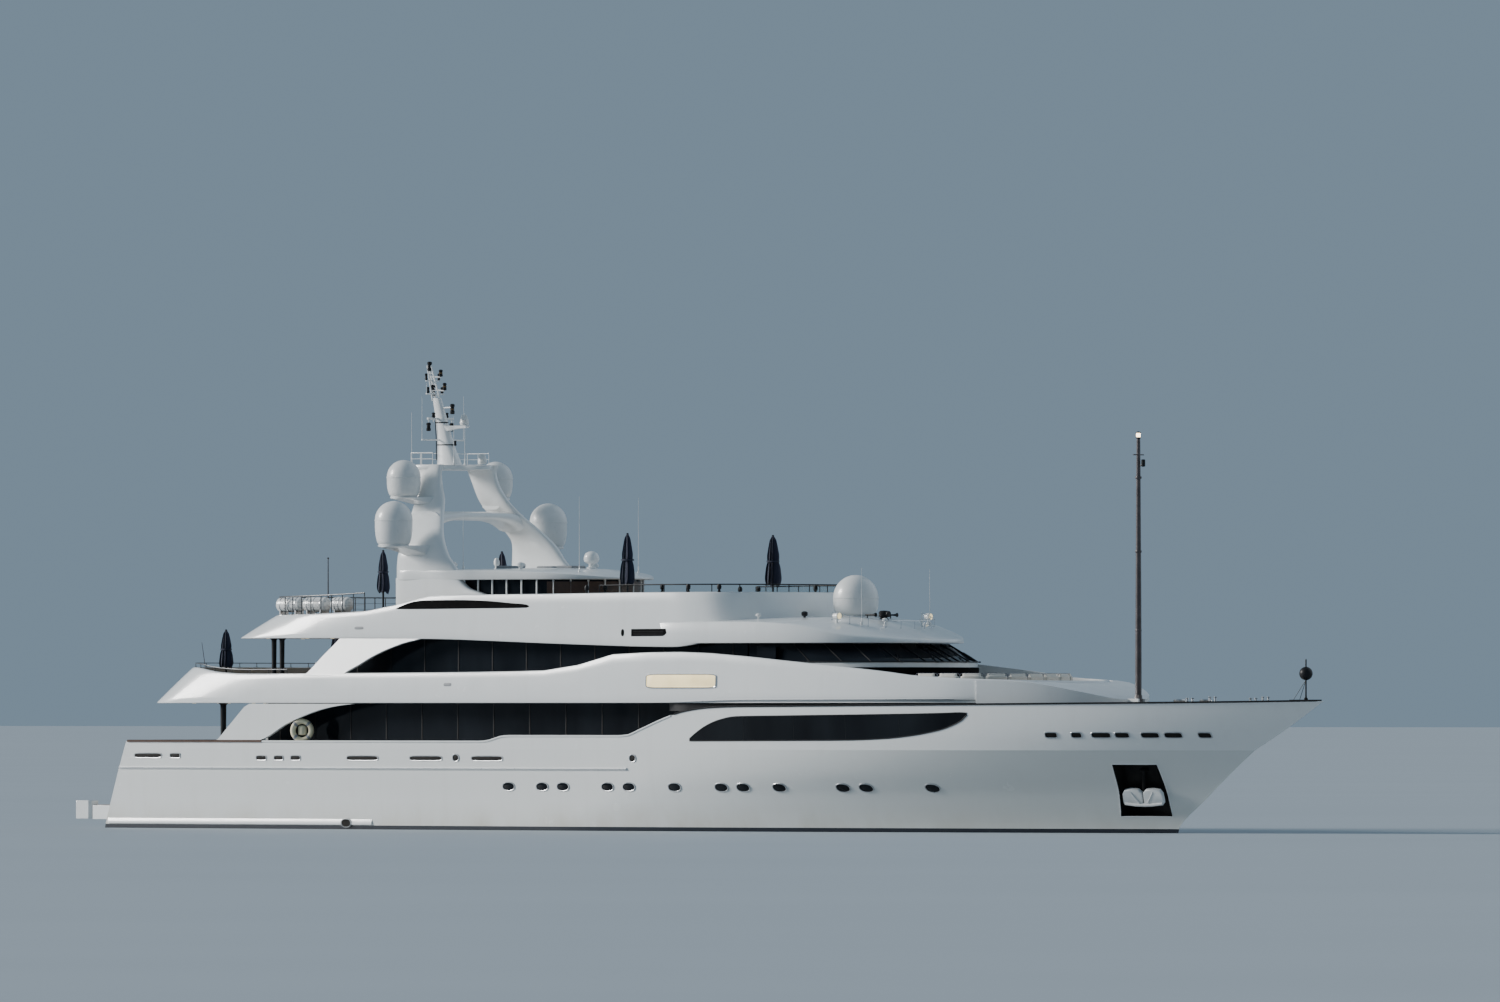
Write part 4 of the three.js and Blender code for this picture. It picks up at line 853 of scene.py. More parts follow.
def plate(b, loop, z0, z1, top_mat=0, side_mat=0, upper=None):
    lo = [(x, y, z0(x) if callable(z0) else z0) for x, y in loop]
    hi = [(x, y, z1) for x, y in upper or loop]
    n = len(loop)
    b.mi = side_mat
    b.add(lo + hi, [(i, (i + 1) % n, n + (i + 1) % n, n + i) for i in range(n)] + [tuple(range(n))])
    o = len(b.v) - n
    b.mi = top_mat
    b.f.append(tuple(range(o, o + n)))
    b.fm.append(top_mat)


UP_B = [(-27.78, 0), (-27.77, 2.4), (-27.72, 3.7), (-27.58, 4.35), (-27.25, 4.85), (-26.6, 5.2), (-25, 5.42), (-21, 5.6), (-14, 5.7), (-5, 5.7), (4, 5.7), (8, 5.62), (12, 5.3), (14.5, 4.85), (16.1, 4.4), (17.3, 3.85), (18.2, 3.15), (18.8, 2.3), (19.1, 1.4), (19.2, 0.6), (19.21, 0)]
UP_T = [(-25.98, 0), (-25.97, 2.2), (-25.92, 3.35), (-25.8, 3.95), (-25.5, 4.45), (-24.95, 4.88), (-23.9, 5.22), (-20.8, 5.5), (-14, 5.6), (-5, 5.6), (4, 5.6), (8, 5.52), (12, 5.2), (14.5, 4.75), (16.05, 4.3), (17.2, 3.76), (18.08, 3.08), (18.66, 2.25), (18.95, 1.38), (19.05, 0.6), (19.06, 0)]
up_top = table([(-27.8, 6.81), (-25.95, 6.81), (-25.0, 6.79), (-23.4, 6.6), (-21.6, 6.52), (-15.6, 6.54), (-4.6, 6.64), (-3.6, 6.77), (-2.6, 6.98), (-1.9, 7.17), (-1.25, 7.29), (0.2, 7.36), (2.6, 7.38), (5.5, 7.22), (8.1, 7.0), (10.5, 6.79), (12.9, 6.56), (14.2, 6.4), (16, 6.29), (19.3, 6.18)])
up_bot = table([(-28, 5.28), (1.5, 5.28), (5.5, 5.37), (20, 5.40)])
SUN_B = [(-23.42, 0), (-23.42, 1.8), (-23.38, 3.2), (-23.27, 3.85), (-22.93, 4.38), (-22.2, 4.75), (-20.6, 5.0), (-18, 5.2), (-10, 5.2), (1, 5.2), (2.6, 5.14), (3.9, 4.85), (4.75, 4.1), (5.35, 3.0), (5.68, 1.7), (5.8, 0.6), (5.81, 0)]
SUN_T = [(-21.5, 0), (-21.5, 1.7), (-21.47, 2.9), (-21.36, 3.55), (-21.1, 4.05), (-20.6, 4.45), (-19.6, 4.8), (-17.8, 5.08), (-10, 5.1), (1, 5.1), (2.3, 5.03), (3.4, 4.74), (4.2, 4.0), (4.8, 2.92), (5.13, 1.65), (5.25, 0.58), (5.26, 0)]
sun_top = table([(-23.5, 8.99), (-21.5, 8.99), (-14.3, 9.19), (-13.2, 9.47), (-12.0, 9.72), (-10.6, 9.78), (-6, 9.8), (1.3, 9.85), (6, 9.85)])
sun_under = table([(-23.45, 8.0), (-18.5, 8.0), (-11.7, 7.95), (-4.3, 7.72), (1.7, 7.58), (3.0, 7.73), (4.0, 8.1), (4.75, 8.3), (6, 8.4)])
deck_band("upper_deck_bulwark", UP_B, UP_T, up_bot, up_top, 5.5, 0.18, "white_paint", "white_paint", ("upper_bulwark_starboard", "upper_bulwark_port"))
deck_band("sun_deck_bulwark", SUN_B, SUN_T, sun_under, sun_top, 8.2, 0.18, "white_paint", "white_paint", ("sun_bulwark_starboard", "sun_bulwark_port"))


def inner_loop(B, T, f, d, per=5):
    lo, hi = spline(B, per), spline(T, per)
    lp = loop_of([Vector((a.x * (1 - f) + c.x * f, a.y * (1 - f) + c.y * f)) for a, c in zip(lo, hi)])
    return [(x + n[0] * -d, y + n[1] * -d) for (x, y), n in zip(lp, out_normals(lp))]


def slabs():
    b = Build()
    plate(b, inner_loop(UP_B, UP_T, 0.02, 0.1), 5.285, 5.5, 1, 0, inner_loop(UP_B, UP_T, 0.16, 0.12))
    skirt = loop_of(spline([(1.6, 0), (1.6, 5.3), (4.3, 5.38), (8, 5.28), (12, 4.95), (14.5, 4.5), (16.4, 3.98), (17.4, 3.5), (17.95, 2.8), (18.0, 0)], 4))
    b.piece("upper_deck_slab", ["white_paint", "teak"], "white_paint", replaces="upper_deck", angle=30)
    # the skirt is black trim: painted shadow in the gap between the hull's sheer and the upper deck band
    s = Build()
    plate(s, skirt, 4.95, 5.35)
    s.piece("upper_deck_shadow_skirt", "dark_trim", "dark_trim", angle=30)
    b = Build()
    plate(b, inner_loop(SUN_B, SUN_T, 0.02, 0.1), lambda x: 8.004 + 0.12 * min(max((x - 2.5) / 1.5, 0), 1), 8.2, 1, 0, inner_loop(SUN_B, SUN_T, 0.22, 0.12))
    # wheelhouse roof: crowned, with a thin leading edge
    edge = spline([(0.5, 0), (0.5, 3.0), (0.55, 5.1), (1.0, 5.19), (3.5, 5.1), (6, 4.85), (7.8, 4.5), (9.2, 4.0), (10.2, 3.3), (10.9, 2.3), (11.3, 1.25), (11.44, 0.5), (11.46, 0)], 5)
    lp = loop_of(edge)
    nn = out_normals(lp)
    ze = table([(0.5, 8.62), (5, 8.62), (6.8, 8.56), (7.8, 8.44), (9.2, 8.17), (10.2, 8.0), (11.5, 7.87)])
    zc = table([(0.5, 8.84), (6.9, 8.84), (8.3, 8.79), (9.4, 8.62), (10.3, 8.36), (11.0, 8.08), (11.5, 7.9)])
    b.mi = 0
    rings = []
    for k, (out, mode) in enumerate([(-0.3, "under"), (-0.05, "under"), (-0.012, "low"), (0, "mid"), (-0.012, "high"), (-0.05, "edge")]):
        ring = []
        for (x, y), n_ in zip(lp, nn):
            zu = max(7.73, sun_under(x) if x < 3 else 7.73)
            z = {"under": zu, "low": zu + 0.015, "mid": zu + 0.05, "high": ze(x) - 0.05, "edge": ze(x)}[mode]
            ring.append((x + n_[0] * out, y + n_[1] * out, z))
        rings.append(ring)
    for t in (0.06, 0.12, 0.2, 0.3, 0.42, 0.55, 0.7, 0.85, 0.97):
        ring = []
        for (x, y) in lp:
            cx = min(max(x, 3.0), 8.6)
            px, py = x + (cx - x) * t, y * (1 - t)
            f = 1 - (1 - t) ** 2.6
            ring.append((px, py, ze(x) + (zc(px) - ze(x)) * f))
        rings.append(ring)
    b.piece("sun_deck_slab", ["white_paint", "teak"], "white_paint", replaces="sun_deck", angle=38)
    roof = Build()
    roof.rings(rings)
    well = Build()
    lp = inner_loop(SUN_B, SUN_T, 0.35, 0.17)
    well.rings([[(x, y, z) for x, y in lp] for z in (8.196, 12.0)])
    me = cut(raw("roof_raw", roof), [raw("roof_well", well)])
    me.materials.clear()
    settle("wheelhouse_roof", me, "white_paint", "white_paint", angle=38)
    b = Build()
    b.lathe([(0.98, 8.56), (0.95, 8.7), (0.86, 8.8), (0.78, 8.845), (0.74, 8.858), (0.05, 8.858)], (7.16, 0, 0), 48)
    b.piece("dome_plinth", "white_paint", "white_paint")


slabs()


def wings(side, tag):
    aft = spline([(-18.3, 6.42), (-18.05, 6.6), (-17.35, 7.3), (-16.75, 7.85), (-16.6, 8.02)], 5)
    fwd = spline([(-11.9, 8.02), (-12.4, 7.9), (-13.1, 7.76), (-14.4, 7.32), (-15.3, 6.88), (-15.95, 6.56), (-16.15, 6.42)], 5)
    pts = [tuple(p) for p in aft] + [tuple(p) for p in fwd]
    b = Build()
    f = lambda o: (lambda x, z: (x, side * (5.5 + o - (z - 6.5) * 0.27), z))
    b.prism(pts, f(-0.08), f(0.08))
    b.piece(f"upper_sweep_plate_{tag}", "white_paint", "white_paint", angle=30, bevel=0.03, seg=3)


both(wings)

# ---------------------------------------------------------------- houses and glass
for n in ("saloon_walls", "upper_house_walls", "wheelhouse_wall", "foredeck_trunk", "swim_platform", "stern_door"):
    refine(n, "white_paint", bevel=0.05 if n in ("foredeck_trunk", "swim_platform") else 0.02, seg=3, angle=35)
for n in ("saloon_glass_starboard", "saloon_glass_port", "saloon_door_starboard", "saloon_door_port", "upper_glass_starboard", "upper_glass_port",
          "upper_door_starboard", "upper_door_port", "wing_door_starboard", "wing_door_port", "wheelhouse_windows", "bar_glass"):
    refine(n, "dark_glass", bevel=0.006, seg=1)
for n in ("shaft_starboard", "shaft_port", "propeller_starboard", "propeller_port", "rudder_starboard", "rudder_port",
          "stabiliser_starboard", "stabiliser_port", "radar_scanner_lower", "radar_scanner_upper"):
    refine(n, SLOT[n], bevel=0.012, seg=2, angle=50)


# ---------------------------------------------------------------- shared small helpers
def resample(pts, step):
    P = [Vector(p) for p in pts]
    L = [0.0]
    for a, c in zip(P, P[1:]):
        L.append(L[-1] + (c - a).length)
    n = max(1, round(L[-1] / step))
    out, k = [], 0
    for i in range(n + 1):
        d = L[-1] * i / n
        while k < len(P) - 2 and L[k + 1] < d:
            k += 1
        t = (d - L[k]) / max(L[k + 1] - L[k], 1e-9)
        out.append(P[k].lerp(P[k + 1], min(max(t, 0), 1)))
    return out


UP = Vector((0, 0, 1))


def rail(b, pts, height=0.95, step=1.2, wires=(0.36, 0.68), r=0.024):
    P = resample(pts, step)
    b.tube([p + UP * height for p in resample(pts, 0.3)], r, 8)
    for w in wires:
        b.tube([p + UP * height * w for p in P], 0.009, 6)
    for p in P:
        b.tube([p - UP * 0.01, p + UP * height], r * 0.8, 8)
        b.lathe([(r * 2.4, 0), (r * 2.4, 0.012), (r * 1.2, 0.03)], p, 10)


def over(T, zt, x0, x1, d=0.09, fore=False, dz=0.0):
    """Points along a bulwark's top, from one side round its end to the other."""
    hs = spline(T, 8)
    nn = out_normals(loop_of(hs))[: len(hs)]
    pts = [Vector((p.x - n[0] * d, p.y - n[1] * d, zt(p.x) + dz)) for p, n in zip(hs, nn) if x0 <= p.x <= x1]
    if fore:
        return pts + [Vector((p.x, -p.y, p.z)) for p in reversed(pts[:-1])]
    return [Vector((p.x, -p.y, p.z)) for p in reversed(pts[1:])] + pts


def face_of(B, T, zb, zt):
    def curve(P):
        out = []
        for p in spline(P, 6):
            if not out or p.x > out[-1][0] + 1e-4:
                out.append((p.x, p.y))
        return table(out)

    yb, yt = curve(B), curve(T)

    def place(x, z, side, out=0.0):
        f = min(max((z - zb(x)) / (zt(x) - zb(x)), 0), 1)
        return Vector((x, side * (yb(x) * (1 - f) + yt(x) * f + 0.02 * math.sin(math.pi * f) + out), z))

    return place


on_upper = face_of(UP_B, UP_T, up_bot, up_top)
on_sun = face_of(SUN_B, SUN_T, sun_under, sun_top)


def block(b, x0, x1, y0, y1, z0, z1, r=0.03):
    """A box with eased corners."""
    hx, hy, cx, cy = (x1 - x0) / 2, (y1 - y0) / 2, (x0 + x1) / 2, (y0 + y1) / 2
    r = min(r, hx * 0.9, hy * 0.9, (z1 - z0) * 0.45)
    rings = []
    for z, k in ((z0, r * 0.7), (z0 + r * 0.3, r * 0.15), (z0 + r, 0), (z1 - r, 0), (z1 - r * 0.3, r * 0.3), (z1, r)):
        ring = []
        for sx, sy, q0 in ((1, 1, 0), (-1, 1, 90), (-1, -1, 180), (1, -1, 270)):
            for a in (0, 30, 60, 90):
                q = math.radians(q0 + a)
                ring.append((cx + sx * (hx - r) + math.cos(q) * (r - k), cy + sy * (hy - r) + math.sin(q) * (r - k), z))
        rings.append(ring)
    b.rings(rings)


def lens(xa, xf, ym, t, z, n=32, power=3.2):
    """Rounded fore-and-aft section."""
    xm, hl = (xa + xf) / 2, (xf - xa) / 2
    out = []
    for i in range(n):
        q = 2 * math.pi * i / n
        c, s = math.cos(q), math.sin(q)
        out.append((xm + hl * math.copysign(abs(c) ** (2 / power), c), ym + t * math.copysign(abs(s) ** (2 / power), s), z))
    return out


def crowned(b, lp, under, edge, crown, cx0, cx1, lip=0.3, power=2.6):
    nn = out_normals(lp)
    rings = []
    for out, k in ((-lip, 0), (-0.05, 0), (-0.012, 1), (0, 2), (0, 3), (-0.012, 4), (-0.05, 5)):
        ring = []
        for (x, y), m in zip(lp, nn):
            u, e = under(x), edge(x)
            s = min(0.05, (e - u) * 0.4)
            ring.append((x + m[0] * out, y + m[1] * out, (u, u + s * 0.3, u + s, e - s, e - s * 0.3, e)[k]))
        rings.append(ring)
    for t in (0.06, 0.12, 0.2, 0.3, 0.42, 0.55, 0.7, 0.85, 0.97):
        ring = []
        for x, y in lp:
            px, py = x + (min(max(x, cx0), cx1) - x) * t, y * (1 - t)
            ring.append((px, py, edge(x) + (crown(px) - edge(x)) * (1 - (1 - t) ** power)))
        rings.append(ring)
    b.rings(rings)


# ---------------------------------------------------------------- marks on the deck bands
def band_marks(side, tag):
    # a near-black slot along the sun deck band under the bar house: painted shadow in the gap
    b = Build()
    top = table([(-13.5, 9.235), (-13.1, 9.37), (-12.6, 9.5), (-12.0, 9.56), (-10.2, 9.57), (-8.6, 9.53), (-7.2, 9.43), (-6.3, 9.36), (-6.17, 9.31)])
    bot = table([(-13.5, 9.2), (-12, 9.2), (-9, 9.215), (-6.3, 9.235), (-6.17, 9.27)])
    patch(b, -13.5, -6.17, top, bot, side, on_sun, 60, 2, 0.012, 0.03)
    b.piece(f"sun_deck_recess_shade_{tag}", "painted_shade_black", "dark_trim")
    # the vent opening is a near-black patch: painted shade inside it, under dark louvres
    v = Build()
    patch(v, -0.55, 1.5, table([(-0.55, 8.33), (1.5, 8.34)]), table([(-0.55, 8.03), (1.15, 8.04), (1.5, 8.3)]), side, on_sun, 24, 2, 0.012, 0.03)
    oval(v, -1.02, 8.18, 0.16, 0.3, side, on_sun, 0.012, 0.02, 2.4, 16)
    v.piece(f"sun_deck_vent_{tag}", "painted_shade_black", "dark_trim")
    v = Build()
    for k in range(4):
        z = 8.09 + 0.07 * k
        v.tube([on_sun(-0.42 + 1.6 * i / 8, z, side, 0.016) for i in range(9)], 0.010, 6)
    v.piece(f"sun_deck_vent_louvres_{tag}", "dark_trim", "dark_trim")
    p = Build()
    oval(p, 2.55, 6.18, 3.7, 0.52, side, on_upper, 0.03, 0.02, 9, 48)
    p.piece(f"lit_plate_{tag}", "lamp", "lamp")
    p = Build()
    oval(p, 2.55, 6.18, 3.7, 0.52, side, on_upper, 0.05, 0.02, 9, 48, ring=0.04)
    p.piece(f"lit_plate_frame_{tag}", "chrome", "chrome")
    g = Build()
    for z0 in (5.36,):
        xs = [2.0 + 14.0 * i / 60 for i in range(61)]
        g.tube([on_upper(x, up_bot(x) + 0.03, side, 0.004) for x in xs], 0.018, 6)
    g.piece(f"upper_band_bead_{tag}", "steel", "steel")
    s = Build()
    for x in (-19.6, -15.5):
        oval(s, x, 8.42, 0.5, 0.12, side, on_sun, 0.01, 0.02, 4, 16)
    oval(s, -10.2, 6.05, 0.42, 0.14, side, on_upper, 0.012, 0.02, 4, 16)
    s.piece(f"band_step_lights_{tag}", "grey", "dark_trim")


both(band_marks)


# ---------------------------------------------------------------- glazing bars
def glazing(side, tag):
    b = Build()
    for node, x0, x1, step in ((f"saloon_glass_{tag}", -20.6, 3.2, 1.98), (f"upper_glass_{tag}", -16.4, 4.2, 1.87)):
        lo, hi = (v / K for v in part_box(node))
        y = (hi.y if side > 0 else -lo.y) + 0.004
        x = x0
        while x < x1:
            b.box(x - 0.028, x + 0.028, side * (y - 0.03), side * (y + 0.012), lo.z + 0.02, hi.z - 0.02)
            x += step
        b.tube([(lo.x + 0.05, side * y, lo.z + 0.03), (hi.x - 0.05, side * y, lo.z + 0.03)], 0.022, 6)
    b.piece(f"glazing_bars_{tag}", "dark_trim", "dark_trim")


both(glazing)


def wheelhouse_trim():
    lo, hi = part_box("wheelhouse_windows")
    sill = [(5.0, 4.3), (8.2, 4.2), (9.7, 3.93), (10.8, 3.4), (11.6, 2.5), (12.1, 1.4), (12.3, 0.5), (12.32, 0)]
    head = [(5.0, 4.22), (7.2, 4.05), (8.55, 3.73), (9.55, 3.1), (10.2, 2.3), (10.6, 1.3), (10.75, 0.45), (10.77, 0)]
    a = [Vector((x, y, 6.96)) for x, y in sill]
    c = [Vector((x, y, 7.70)) for x, y in head]
    A = a + [Vector((p.x, -p.y, p.z)) for p in reversed(a[:-1])]
    C = c + [Vector((p.x, -p.y, p.z)) for p in reversed(c[:-1])]
    b = Build()
    for i in range(1, len(A) - 1):
        n = Vector((A[i].x - 6, A[i].y, 0)).normalized() * 0.012
        b.tube([A[i] + n, C[i] + n], 0.022, 6)
    b.tube([p + Vector((p.x - 6, p.y, 0)).normalized() * 0.02 for p in A], 0.026, 6)
    b.piece("wheelhouse_mullions", "dark_trim", "dark_trim")
    w = Build()
    sill_x = table([(0, 12.33), (1.4, 12.12), (2.5, 11.62), (3.4, 10.82)])
    for y0 in (-2.5, -0.9, 0.9, 2.5):
        on = lambda y, z: Vector((sill_x(abs(y)) + 0.045 - (z - 6.95) * 2.02, y, z))
        y1 = y0 + 0.42
        w.lathe([(0.05, 0), (0.05, 0.05), (0.03, 0.06)], on(y0, 6.93), 10)
        w.tube([on(y0, 6.98), on((y0 + y1) / 2, 7.2)], 0.014, 6)
        w.tube([on(y0 + 0.02, 7.08), on((y0 + y1) / 2, 7.2), on(y1 - 0.05, 7.36)], 0.013, 6)
    w.piece("wheelhouse_wipers", "dark_trim", "dark_trim")
    # a near-black band round the wheelhouse front below the sill: painted shade on the wall behind the bulwark
    d = Build()
    hs = spline([(7.6, 4.235), (8.2, 4.2), (9.7, 3.93), (10.8, 3.4), (11.6, 2.5), (12.1, 1.4), (12.3, 0.5), (12.32, 0)], 5)
    path = [Vector((p.x, p.y, 6.16)) for p in hs] + [Vector((p.x, -p.y, 6.16)) for p in reversed(hs[:-1])]
    d.sweep(path, [(0.0, 0.0), (0.03, 0.02), (0.03, 0.56), (0.0, 0.58)])
    d.piece("wheelhouse_front_shade_band", "painted_shade_black", "dark_trim")


wheelhouse_trim()


# ---------------------------------------------------------------- hardtop, arch and mast
def hardtop():
    half_plan = [(-14.7, 0), (-14.7, 2.2), (-14.68, 3.6), (-14.45, 3.93), (-13.0, 3.95), (-11.2, 3.92), (-10.2, 3.7), (-8.6, 3.37), (-7.0, 2.96), (-5.8, 2.3), (-5.0, 1.4), (-4.68, 0.5), (-4.65, 0)]
    b = Build()
    crowned(b, loop_of(spline(half_plan, 6)), lambda x: 10.42, table([(-14.7, 10.84), (-10, 10.82), (-6.5, 10.68), (-4.6, 10.5)]),
            table([(-14.7, 10.9), (-9, 10.93), (-6.5, 10.86), (-5.2, 10.68), (-4.6, 10.53)]), -13.6, -6.6)
    # side walls run up into the arch legs
    for s in (-1, 1):
        zs = [8.21, 9.0, 9.6, 9.8, 9.88, 9.95, 10.02, 10.12, 10.25, 10.4, 10.5]
        fore = table([(8.2, -9.6), (9.6, -9.62), (9.8, -9.75), (9.9, -10.1), (10.02, -10.55), (10.25, -10.95), (10.5, -11.2)])
        b.rings([lens(-14.68, fore(z), s * 3.71, 0.24, z, 36, 5) for z in zs])
    b.lathe([(0.2, 10.86), (0.2, 10.95), (0.12, 10.98), (0.12, 11.08), (0.22, 11.12), (0.3, 11.18), (0.33, 11.3), (0.31, 11.42), (0.25, 11.53), (0.14, 11.6), (0.02, 11.62)], (-7.16, 0, 0), 28)
    b.piece("hardtop_shell", "white_paint", "white_paint", replaces="hardtop", angle=38)
    m = Build()
    for s in (-1, 1):
        path = spline([(-11.2, 3.46), (-8.7, 3.21), (-7.2, 2.86), (-6.2, 2.16), (-5.52, 1.33), (-5.26, 0.45)], 8)
        P = resample([Vector((p.x, s * p.y, 9.9)) for p in path], 0.72)
        for p in P[1:]:
            m.box(p.x - 0.03, p.x + 0.03, p.y - 0.03, p.y + 0.03, 9.0, 10.42)
    m.piece("bar_window_mullions", "white_paint", "white_paint")
    w = Build()
    pan = spline([(-7.15, 2.87), (-6.2, 2.19), (-5.55, 1.36), (-5.27, 0.45), (-5.26, 0)], 10)
    P = [Vector((p.x, p.y, 0)) for p in pan] + [Vector((p.x, -p.y, 0)) for p in reversed(pan[:-1])]
    w.sweep([p + UP * 9.1 for p in P], [(0.0, 0.0), (0.02, 0.0), (0.02, 1.24), (0.0, 1.24)])
    w.piece("bar_panels", "stove_brown", "dark_spar")
    h = Build()
    for x, y in ((-10.5, 1.3), (-10.5, -1.3), (-8.3, 0)):
        block(h, x - 0.45, x + 0.45, y - 0.45, y + 0.45, 10.88, 11.02, 0.05)
    h.piece("hardtop_hatches", "grey", "dark_trim")


hardtop()


def arch():
    rows = [(10.45, -14.69, -11.2, 3.69, 0.26), (10.9, -14.69, -11.42, 3.68, 0.265), (11.4, -14.65, -11.87, 3.66, 0.27), (11.8, -14.57, -12.13, 3.58, 0.265), (12.1, -14.5, -12.35, 3.44, 0.25), (12.65, -14.65, -12.78, 3.02, 0.24),
            (13.2, -14.92, -13.2, 2.5, 0.23), (13.9, -15.12, -13.6, 2.0, 0.21), (14.6, -15.3, -13.92, 1.8, 0.2), (15.0, -15.45, -13.98, 1.74, 0.2), (15.29, -15.6, -13.9, 1.7, 0.22)]
    f = [table([(r[0], r[k]) for r in rows]) for k in range(1, 5)]
    b = Build()
    for s in (-1, 1):
        b.rings([lens(f[0](z), f[1](z), s * f[2](z), f[3](z), z, 32, 3.0) for z in [10.45 + (15.29 - 10.45) * i / 44 for i in range(45)]])
    # lower wing between the legs
    ring = []
    for i in range(33):
        y = -2.75 + 5.5 * i / 32
        e = abs(y) / 2.75
        sag = 0.46 * e**4
        xa, xf = -14.8 - 0.05 * e, -13.28 + 0.1 * e
        n = []
        for j in range(20):
            q = 2 * math.pi * j / 20
            c, s_ = math.cos(q), math.sin(q)
            n.append(((xa + xf) / 2 + (xf - xa) / 2 * math.copysign(abs(c) ** 0.7, c), y, 13.14 - (sag / 2) + (0.19 + sag / 2) * math.copysign(abs(s_) ** 0.8, s_)))
        ring.append(n)
    b.rings(ring)
    # upper platform
    half_plan = [(-15.78, 0), (-15.78, 1.2), (-15.7, 1.78), (-15.45, 1.92), (-14.5, 1.92), (-14.15, 1.75), (-13.98, 1.2), (-13.7, 0.78), (-13.15, 0.48), (-12.9, 0.25), (-12.84, 0)]
    crowned(b, loop_of(spline(half_plan, 5)), lambda x: 15.07, lambda x: 15.26, lambda x: 15.3, -15.2, -13.6, 0.2, 2)
    for s in (-1, 1):
        for xc, yc, rr, y0, z, deep, xi, wi in ((-13.8, 4.95, 0.66, 3.58, 11.868, 0.52, -13.5, 0.72), (-14.98, 2.95, 0.58, 1.98, 13.918, 0.4, -14.45, 0.5)):
            ring = []
            for i in range(21):
                y = y0 + (yc + rr - y0) * math.sin(math.pi / 2 * i / 20)
                t = (y - y0) / (yc + rr - y0)
                d = 0.08 + deep * (1 - t) ** 2
                near = min(1.0, (y - y0) / (yc - y0))
                xm = xi + (xc - xi) * (3 * near**2 - 2 * near**3)
                w = (wi + (rr - wi) * near) if y < yc else math.sqrt(max(rr * rr - (y - yc) ** 2, 0.0004))
                n = [(xm - w, s * y, z), (xm + w, s * y, z), (xm + w + 0.015, s * y, z - 0.03), (xm + w * 0.92, s * y, z - d * 0.8), (xm + w * 0.6, s * y, z - d), (xm - w * 0.6, s * y, z - d), (xm - w * 0.92, s * y, z - d * 0.8), (xm - w - 0.015, s * y, z - 0.03)]
                ring.append(n)
            b.rings(ring)
    b.piece("arch_shell", "white_paint", "white_paint", replaces="radar_arch", angle=40)
    r = Build()
    for s in (-1, 1):
        rail(r, [(-15.6, s * 1.2, 15.29), (-15.6, s * 1.8, 15.29), (-14.4, s * 1.8, 15.29)], 0.5, 0.6, (0.5,), 0.016)
    rail(r, [(-15.65, -1.1, 15.29), (-15.65, 1.1, 15.29)], 0.5, 0.7, (0.5,), 0.016)
    r.piece("arch_rails", "white_paint", "white_paint")


arch()


